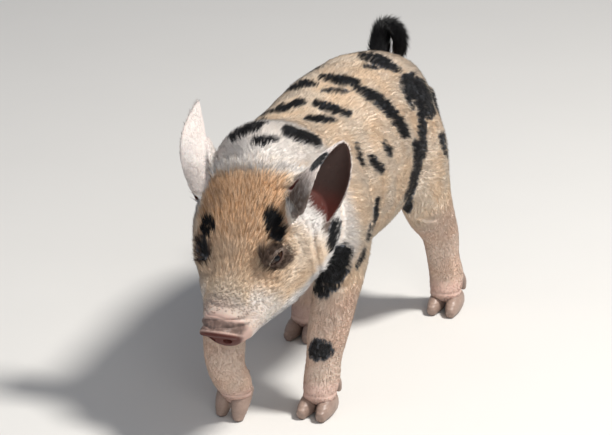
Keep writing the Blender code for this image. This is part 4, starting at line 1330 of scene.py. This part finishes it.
def tuftMesh(name, hairs, segments):  # a lock one unit high along Z, its width in mm
    points, faces, along, flat, tones = [], [], [], [], []
    sides = 3
    for number, (root, tip, share, radius, tone) in enumerate(hairs):
        base = len(points)
        for ring in range(segments):
            t = ring / segments
            aside = root + (tip - root) * t
            wide = radius * (1 - tuftForm["taper"] * t)
            bend = tuftForm["bend"] if segments > 1 else 0
            rise = tuftForm["sink"] + bend * math.sin(math.pi * t)
            for k in range(sides):
                angle = 2 * math.pi * k / sides + math.pi / 2
                points.append((aside + wide * math.cos(angle), rise + wide * math.sin(angle),
                               share * t))
                along.append(t)
        points.append((tip, tuftForm["sink"] * 0.3, share))
        along.append(1.0)
        tones += [tone] * (sides * segments + 1)
        u = number / len(hairs)
        step = 1 / len(hairs) / sides
        for ring in range(segments):
            low, high = ring / segments, (ring + 1) / segments
            for k in range(sides):
                n = (k + 1) % sides
                a, b = base + ring * sides + k, base + ring * sides + n
                if ring < segments - 1:
                    faces.append((a, b, b + sides, a + sides))
                    flat += [(u + k * step, low), (u + (k + 1) * step, low),
                             (u + (k + 1) * step, high), (u + k * step, high)]
                else:
                    faces.append((a, b, len(points) - 1))
                    flat += [(u + k * step, low), (u + (k + 1) * step, low),
                             (u + (k + 0.5) * step, high)]
        faces.append((base + 2, base + 1, base))
        flat += [(u, 0), (u + step, 0), (u, 0.02)]
    obj = meshObject(name, points, faces)
    obj.data.shade_smooth()
    setNumber(obj.data, "along", along)
    setNumber(obj.data, "tone", tones)
    layer = obj.data.attributes.new("tuftMap", "FLOAT2", "CORNER")
    layer.data.foreach_set("vector", np.array(flat, np.float32).ravel())
    return obj


def tuftKinds(name, segments):
    kinds = bpy.data.collections.new(name)
    for k in range(tuftForm["kinds"]):
        obj = tuftMesh(f"{name} {k}", tuftHairs(40 + k), segments)
        bpy.context.scene.collection.objects.unlink(obj)
        kinds.objects.link(obj)
    return kinds


def coatTree():
    tree = bpy.data.node_groups.new("coat", "GeometryNodeTree")
    sockets = {}
    face = tree.interface
    face.new_socket("Geometry", in_out="OUTPUT", socket_type="NodeSocketGeometry")
    kinds = dict(Geometry="Geometry", Tufts="Collection", Spacing="Float", Width="Float",
                 Tousle="Float", Seed="Int", Dress="Material")
    for name, kind in kinds.items():
        socket = face.new_socket(name, in_out="INPUT", socket_type=f"NodeSocket{kind}")
        sockets[name] = socket.identifier
    graph = Graph(tree)
    inputs = tree.nodes.new("NodeGroupInput")
    given = {name: Wire(graph, inputs.outputs[name]) for name in sockets}

    def carried(name, kind="FLOAT"):
        return graph.node("GeometryNodeInputNamedAttribute", dict(data_type=kind), dict(Name=name))

    def chance(low, high, seed):
        return graph.node("FunctionNodeRandomValue", None, {2: low, 3: high, 8: seed}, 1)

    cover = carried("cover")
    spread = graph.node("GeometryNodeDistributePointsOnFaces", dict(distribute_method="POISSON"), {
        "Mesh": given["Geometry"], "Distance Min": given["Spacing"],
        "Density Max": 1.3 / (given["Spacing"] * given["Spacing"]),
        "Density Factor": cover, "Seed": given["Seed"]})
    place = graph.node("GeometryNodeInputPosition")
    rise, lie = carried("rise", "FLOAT_VECTOR"), carried("lie", "FLOAT_VECTOR")
    lift = carried("lift")
    across = graph.vector("CROSS_PRODUCT", rise, lie)
    clump = graph.noise(place, 210.0, 1.0)
    sway = (clump - 0.5) * 0.45 + chance(-0.12, 0.12, 11)
    lean = (graph.noise(place, 340.0, 1.0) - 0.5) * 0.25 + chance(-0.05, 0.07, 12)
    way = graph.vector("ADD", graph.scaled(lie, graph.maths("COSINE", lift)),
                       graph.scaled(rise, graph.maths("SINE", lift) + lean * given["Tousle"]))
    way = graph.vector("ADD", way, graph.scaled(across, sway * given["Tousle"]))
    turn = graph.node("FunctionNodeAxesToRotation", dict(primary_axis="Z", secondary_axis="Y"),
                      {"Primary Axis": way, "Secondary Axis": rise})
    wide = given["Width"] * chance(0.8, 1.25, 13)
    size = graph.node("ShaderNodeCombineXYZ", None, dict(
        X=wide * mm, Y=wide * mm, Z=carried("long") * chance(0.72, 1.18, 14) * mm))
    kinds = graph.node("GeometryNodeCollectionInfo", None, {
        "Collection": given["Tufts"], "Separate Children": True, "Reset Children": True})
    kept = graph.store(spread, "rootPlace", "FLOAT_VECTOR", "POINT", place)
    kept = graph.store(kept, "strand", "FLOAT", "POINT", chance(0.0, 1.0, 15))
    pick = graph.node("FunctionNodeRandomValue", dict(data_type="INT"), {4: 0, 5: 3, 8: 16}, 2)
    grown = graph.node("GeometryNodeInstanceOnPoints", None, {
        "Points": kept, "Instance": kinds, "Pick Instance": True, "Instance Index": pick,
        "Rotation": turn, "Scale": size})
    solid = graph.node("GeometryNodeRealizeInstances", None, {"Geometry": grown})
    patch = graph.vector("SUBTRACT", carried("tuftMap", "FLOAT_VECTOR"), (0.5, 0.5, 0))
    spot = graph.vector("ADD", carried("place", "FLOAT_VECTOR"), graph.scaled(patch, 0.003))
    mapped = graph.store(solid, "OFBake", "FLOAT2", "CORNER", spot)
    dressed = graph.node("GeometryNodeSetMaterial", None,
                         dict(Geometry=mapped, Material=given["Dress"]))
    outlet = tree.nodes.new("NodeGroupOutput")
    tree.links.new(dressed.socket, outlet.inputs["Geometry"])
    return tree, sockets


coatPlan, coatSockets = coatTree()
straightTufts = tuftKinds("straight tufts", 1)
bentTufts = tuftKinds("bent tufts", 2)


def coatMaterial():
    material, graph, surface = newMaterial("piglet coat", Roughness=0.5, Specular_IOR_Level=0.3)
    root = graph.node("ShaderNodeAttribute", dict(attribute_name="rootPlace"), out=1)
    strand, tone, along = graph.value("strand"), graph.value("tone"), graph.value("along")
    colour = coatColour(graph, root, tone)[0]
    light = 0.76 + strand * 0.1 + tone * 0.22 + along * 0.1 - graph.value("tan") * (0.12 - tone * 0.2)
    shade = graph.node("ShaderNodeCombineColor", None, dict(Red=light, Green=light, Blue=light))
    plug(graph.mix(1.0, colour, shade, "MULTIPLY"), surface, "Base Color")
    return material


def changeNumber(name, values):
    skin.data.attributes[name].data.foreach_set("value", np.asarray(values, np.float32))


coatDress = coatMaterial()
skinDark = np.array([item.value for item in skin.data.attributes["dark"].data])
hairReach = coatWays * (0.45 * coatLong)[:, None]
changeNumber("dark", darkNumber(skinPoints + hairReach))
growth = 1 - bareShare(skinPoints)
skin.data.attributes.new("cover", "FLOAT", "POINT")
stage("bare places found")

coatPieces = dict(
    face=dict(tufts="bent", spacing=1.22, width=1.05, tousle=1.0, seed=1, slot="skin_head"),
    cheeks=dict(tufts="straight", spacing=1.06, width=1.0, tousle=0.9, seed=2, slot="skin_head"),
    ears=dict(tufts="straight", spacing=0.8, width=0.65, tousle=0.4, seed=3, slot="skin_ear"),
    neck=dict(tufts="straight", spacing=1.16, width=1.05, tousle=0.6, seed=4, slot="skin_neck"),
    leftSide=dict(tufts="straight", spacing=1.28, width=1.05, tousle=0.5, seed=5, slot="skin_torso"),
    rightSide=dict(tufts="straight", spacing=1.3, width=1.05, tousle=0.5, seed=6, slot="skin_torso"),
    rump=dict(tufts="straight", spacing=1.42, width=1.1, tousle=0.5, seed=10, slot="skin_torso"),
    forelegs=dict(tufts="straight", spacing=1.08, width=0.85, tousle=0.6, seed=7, slot="skin_leg"),
    hindlegs=dict(tufts="straight", spacing=1.1, width=0.85, tousle=0.6, seed=8, slot="skin_leg"),
    tail=dict(tufts="straight", spacing=0.8, width=1.1, tousle=1.0, seed=9, slot="tail_hair"),
)


def coatShares():  # where each piece of the coat grows, 0 or 1
    x, s, z = headSpace(skinPoints)
    px, py, pz = skinPoints.T
    head = skinParts["head"] > 0.5
    ear = skinParts["ear"] > 0.5
    face = head & (z > 2) & (np.abs(x) < 44) & (s > 4)
    leg = (skinParts["leg"] > 0.5) | ((skinParts["body"] > 0.5) & (pz < 108))
    tail = skinParts["tail"] > 0.5
    trunk = ~(head | ear | leg | tail)
    neck, rump = trunk & (py < -40), trunk & (py > 66)
    side = trunk & ~neck & ~rump
    return dict(face=face, cheeks=head & ~face, ears=ear, neck=neck, tail=tail,
                leftSide=side & (px > -5), rightSide=side & (px <= -5), rump=rump,
                forelegs=leg & (py < 10), hindlegs=leg & (py >= 10))


def growCoat():
    shares = coatShares()
    total = 0
    for name, spec in coatPieces.items():
        changeNumber("cover", growth * shares[name])
        obj = bpy.data.objects.new(f"coat_{name}", skin.data)
        bpy.context.scene.collection.objects.link(obj)
        modifier = obj.modifiers.new("coat", "NODES")
        modifier.node_group = coatPlan
        values = dict(Tufts=bentTufts if spec["tufts"] == "bent" else straightTufts,
                      Spacing=spec["spacing"] * mm * 1, Width=spec["width"],
                      Tousle=spec["tousle"], Seed=spec["seed"], Dress=coatDress)
        for key, value in values.items():
            modifier[coatSockets[key]] = value
        graph = bpy.context.evaluated_depsgraph_get()
        mesh = bpy.data.meshes.new_from_object(obj.evaluated_get(graph))
        obj.modifiers.clear()
        obj.data = mesh
        for extra in ("rise", "lie", "lift", "long", "cover", "place", "tuftMap"):
            if extra in mesh.attributes:
                mesh.attributes.remove(mesh.attributes[extra])
        triangles = sum(len(face.vertices) - 2 for face in mesh.polygons)
        total += triangles
        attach(obj, "root")
        stage(f"coat_{name}: {triangles} triangles")
    stage(f"coat: {total} triangles")


growCoat()
for kinds in (straightTufts, bentTufts):
    for source in list(kinds.objects):
        bpy.data.objects.remove(source)
changeNumber("dark", skinDark)
for extra in ("rise", "lie", "lift", "long", "cover", "place"):
    skin.data.attributes.remove(skin.data.attributes[extra])

# ---- eyes, lids and lashes

eyeSpec = dict(
    pupil=15, iris=46, rim=52,  # degrees from the middle of the eye
    bulge=0.5, rings=96, rimRadius=0.42, rimLift=0.25,
    lashes=30, lashLength=(3.0, 6.5), lashRadius=0.13,
    pupilColour=(0.003, 0.003, 0.004), irisColours=((0.012, 0.006, 0.004), (0.045, 0.020, 0.010)),
    whiteColour=(0.10, 0.05, 0.04), rimColours=((0.020, 0.012, 0.011), (0.085, 0.042, 0.037)),
    lashColours=((0.55, 0.42, 0.30), (0.75, 0.66, 0.55)),
)


def placedPiece(name, shapes, material, nodes=()):
    points, faces = joined(shapes)
    obj = meshObject(name, points * mm + np.array(shift), faces)
    obj.data.shade_smooth()
    obj.data.materials.append(material)
    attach(obj, "root")
    if nodes:
        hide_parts(*nodes)
    return obj


def eyeMaterial():
    material, graph, surface = newMaterial("dark eye", Roughness=0.15, Coat_Weight=0.2,
                                           Coat_Roughness=0.02, Specular_IOR_Level=0.3)
    turn = graph.value("turn")
    place = graph.place()
    streaks = graph.noise(place, 900, 3)
    iris = graph.mix(streaks, *eyeSpec["irisColours"])
    edge = graph.step(turn, eyeSpec["pupil"] - 2, eyeSpec["pupil"] + 2)
    colour = graph.mix(edge, eyeSpec["pupilColour"], iris)
    white = graph.step(turn, eyeSpec["iris"], eyeSpec["rim"])
    colour = graph.mix(white, colour, eyeSpec["whiteColour"])
    plug(colour, surface, "Base Color")
    return material


def buildEyes():
    material = eyeMaterial()
    for sign, side in ((1, "left"), (-1, "right")):
        points, faces = ballShape((0, 0, 0), (1, 1, 1), None, eyeSpec["rings"])
        angle = np.degrees(np.arccos(np.clip(points[:, 2], -1, 1)))
        points = points * (eyeForm["radius"] + eyeSpec["bulge"] * ramp(angle, 42, 6))[:, None]
        obj = placedPiece(f"eyeball_{side}", [(fromFrame(eyeMatrix(sign), points), faces)], material,
                          [f"eye_{side}"])
        setNumber(obj.data, "turn", angle)


def lidLine(sign, count=72):  # the slit's edge, on the lids' ball
    turn = 2 * math.pi * np.arange(count) / count
    u, v = eyeForm["slitLength"] * np.cos(turn), eyeForm["slitHeight"] * np.sin(turn)
    outer = eyeForm["radius"] + eyeForm["lid"] - eyeSpec["rimLift"] - skinSpec["coatDepth"]["head"]
    w = np.sqrt(np.maximum(outer**2 - u**2 - v**2, 0))
    return np.column_stack([u, sign * v, w]), turn


def spikeShapes(roots, tips, radius, bend, sides=4):
    points, faces = [], []
    for k, (root, tip) in enumerate(zip(roots, tips)):
        along = unit(tip - root)
        across = unit(np.cross(along, (0.31, 0.52, 0.79)))
        up = np.cross(along, across)
        base = len(points)
        middle = (root + tip) / 2 + bend[k]
        for centre, wide in ((root, radius), (middle, radius * 0.7)):
            for n in range(sides):
                angle = 2 * math.pi * n / sides
                points.append(centre + (across * math.cos(angle) + up * math.sin(angle)) * wide)
        points.append(tip)
        for n in range(sides):
            m = (n + 1) % sides
            faces.append((base + n, base + m, base + sides + m, base + sides + n))
            faces.append((base + sides + n, base + sides + m, base + 2 * sides))
        faces.append(tuple(base + n for n in reversed(range(sides))))
    return points, faces


def mottled(name, scale, detail, first, second, **constants):
    material, graph, surface = newMaterial(name, **constants)
    place = graph.place()
    plug(graph.mix(graph.noise(place, scale, detail), first, second), surface, "Base Color")
    return material


def buildLids():
    rims, lashes = [], []
    rng = np.random.default_rng(31)
    for sign in (1, -1):
        line, turn = lidLine(sign)
        count, sides = len(line), 10
        along = unit(np.roll(line, -1, axis=0) - np.roll(line, 1, axis=0))
        out = unit(line)
        side = np.cross(along, out)
        points, faces = [], []
        thick = eyeSpec["rimRadius"] * (1 + 0.15 * np.sin(turn * 9) + 0.1 * np.sin(turn * 23))
        for k in range(sides):
            angle = 2 * math.pi * k / sides
            ring = out * math.cos(angle) * 0.8 + side * math.sin(angle)
            points.append(line + ring * thick[:, None])
        points = np.vstack(points)
        for k in range(sides):
            for i in range(count):
                j, n = (i + 1) % count, (k + 1) % sides
                faces.append((k * count + i, k * count + j, n * count + j, n * count + i))
        rims.append((fromFrame(eyeMatrix(sign), points),
                     faces if sign > 0 else [tuple(reversed(face)) for face in faces]))
        spread = np.linspace(0.12, 0.88, eyeSpec["lashes"]) * math.pi
        u, v = eyeForm["slitLength"] * np.cos(spread), eyeForm["slitHeight"] * np.sin(spread)
        outer = eyeForm["radius"] + eyeForm["lid"] - skinSpec["coatDepth"]["head"]
        roots = np.column_stack([u, sign * v, np.sqrt(outer**2 - u**2 - v**2)])
        length = rng.uniform(*eyeSpec["lashLength"], len(u))[:, None]
        aside, up = 0.05 * u + rng.normal(0, 0.12, len(u)), 0.35 + rng.normal(0, 0.12, len(u))
        way = unit(np.column_stack([aside, sign * up, np.full(len(u), 0.75)]))
        tips = roots + way * length
        bend = np.outer(-sign * 0.10 * length[:, 0], (0, 1, 0))
        points, faces = spikeShapes(roots, tips, eyeSpec["lashRadius"], bend)
        lashes.append((fromFrame(eyeMatrix(sign), np.array(points)), faces))
    dress = mottled("lid rims", 420, 3, *eyeSpec["rimColours"], Roughness=0.5,
                    Specular_IOR_Level=0.25)
    placedPiece("lid_rims", rims, dress)
    dress = mottled("pale lashes", 800, 1, *eyeSpec["lashColours"], Roughness=0.5)
    placedPiece("lashes", lashes, dress)


buildEyes()
buildLids()
stage("eyes and lids")

# ---- claws

clawForm = dict(
    feet=dict(foreleg_left=dict(at=(31.5, -87, 0), heading=0, tip=0, lift=0),
              foreleg_right=dict(at=(-27, -112, 0), heading=-12, tip=55, lift=13),
              hindleg_left=dict(at=(43, 158, 0), heading=4, tip=0, lift=0),
              hindleg_right=dict(at=(-45, 56, 0), heading=0, tip=0, lift=0)),
    claw=[
        (0, -9, 10, 5.5, 8, 11), (0, 0, 9, 6.8, 9, 10), (0.4, 9, 7, 6, 7.5, 8),
        (0.8, 16, 4.5, 4, 5, 5.5)],
    dewclaw=[
        (0, 2, 29, 4.2, 4.2, 4.2), (0.4, -3, 22, 4, 4, 4), (1, -6, 15, 2.4, 2.4, 2.4)],
    clawAside=7.6, dewclawAside=7.5, dewclawAhead=-14.5, growthLines=0.16, lineSpacing=2.6,
    colours=((0.23, 0.155, 0.125), (0.50, 0.365, 0.30)), soleColour=(0.15, 0.11, 0.09),
    grainColour=(0.12, 0.085, 0.07),
)


def footMatrix(name):
    foot = clawForm["feet"][name]
    place = Matrix.Translation(Vector(foot["at"]) + Vector((0, 0, foot["lift"])))
    return place @ turned(foot["heading"], "Z") @ turned(foot["tip"], "X")


def clawMaterial():
    material, graph, surface = newMaterial("horn", Roughness=0.42, Specular_IOR_Level=0.45)
    place = graph.place()
    soft, fine = graph.noise(place, 130, 3), graph.noise(place, 900, 2)
    colour = graph.mix(soft, *clawForm["colours"])
    colour = graph.mix(graph.step(graph.value("sole"), 0.2, 1.0), colour, clawForm["soleColour"])
    plug(graph.mix(fine * 0.5, colour, clawForm["grainColour"]), surface, "Base Color")
    bump = graph.node("ShaderNodeBump", None, dict(Strength=0.4, Distance=0.0003, Height=fine))
    plug(bump, surface, "Normal")
    return material


def buildClaws():
    shapes, nodes = [], []
    for foot in clawForm["feet"]:
        place = footMatrix(foot)
        for sign, side in ((1, "left"), (-1, "right")):
            for kind, aside, ahead, up, rings in (
                    ("claw", clawForm["clawAside"], 0, (0, 0, 1), dict(steps=10, sides=36, caps=6)),
                    ("dewclaw", clawForm["dewclawAside"], clawForm["dewclawAhead"], (0, 1, 0),
                     dict(steps=6, sides=20, caps=4))):
                rows = [(sign * (aside + x), -(ahead + s), *rest) for x, s, *rest in clawForm[kind]]
                shapes.append(loft(rows, up, place=place, **rings))
                nodes.append(f"{kind}_{side}_of_{foot}")
    points, faces = joined(shapes)
    points[:, 2] = np.maximum(points[:, 2], 0)  # soles stand flat
    obj = placedPiece("claws", [(points, faces)], clawMaterial(), nodes)
    normals = normalsOf(obj.data)
    lines = np.sin(points[:, 2] * 2 * math.pi / clawForm["lineSpacing"]) * clawForm["growthLines"]
    growth = lines * ramp(points[:, 2], 1.5, 4)
    points = points + normals * growth[:, None]
    setCoords(obj.data, points * mm + np.array(shift))
    setNumber(obj.data, "sole", ramp(points[:, 2], 2.5, -0.5))


buildClaws()
stage("claws")

# ---- close

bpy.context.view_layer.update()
stage("done")
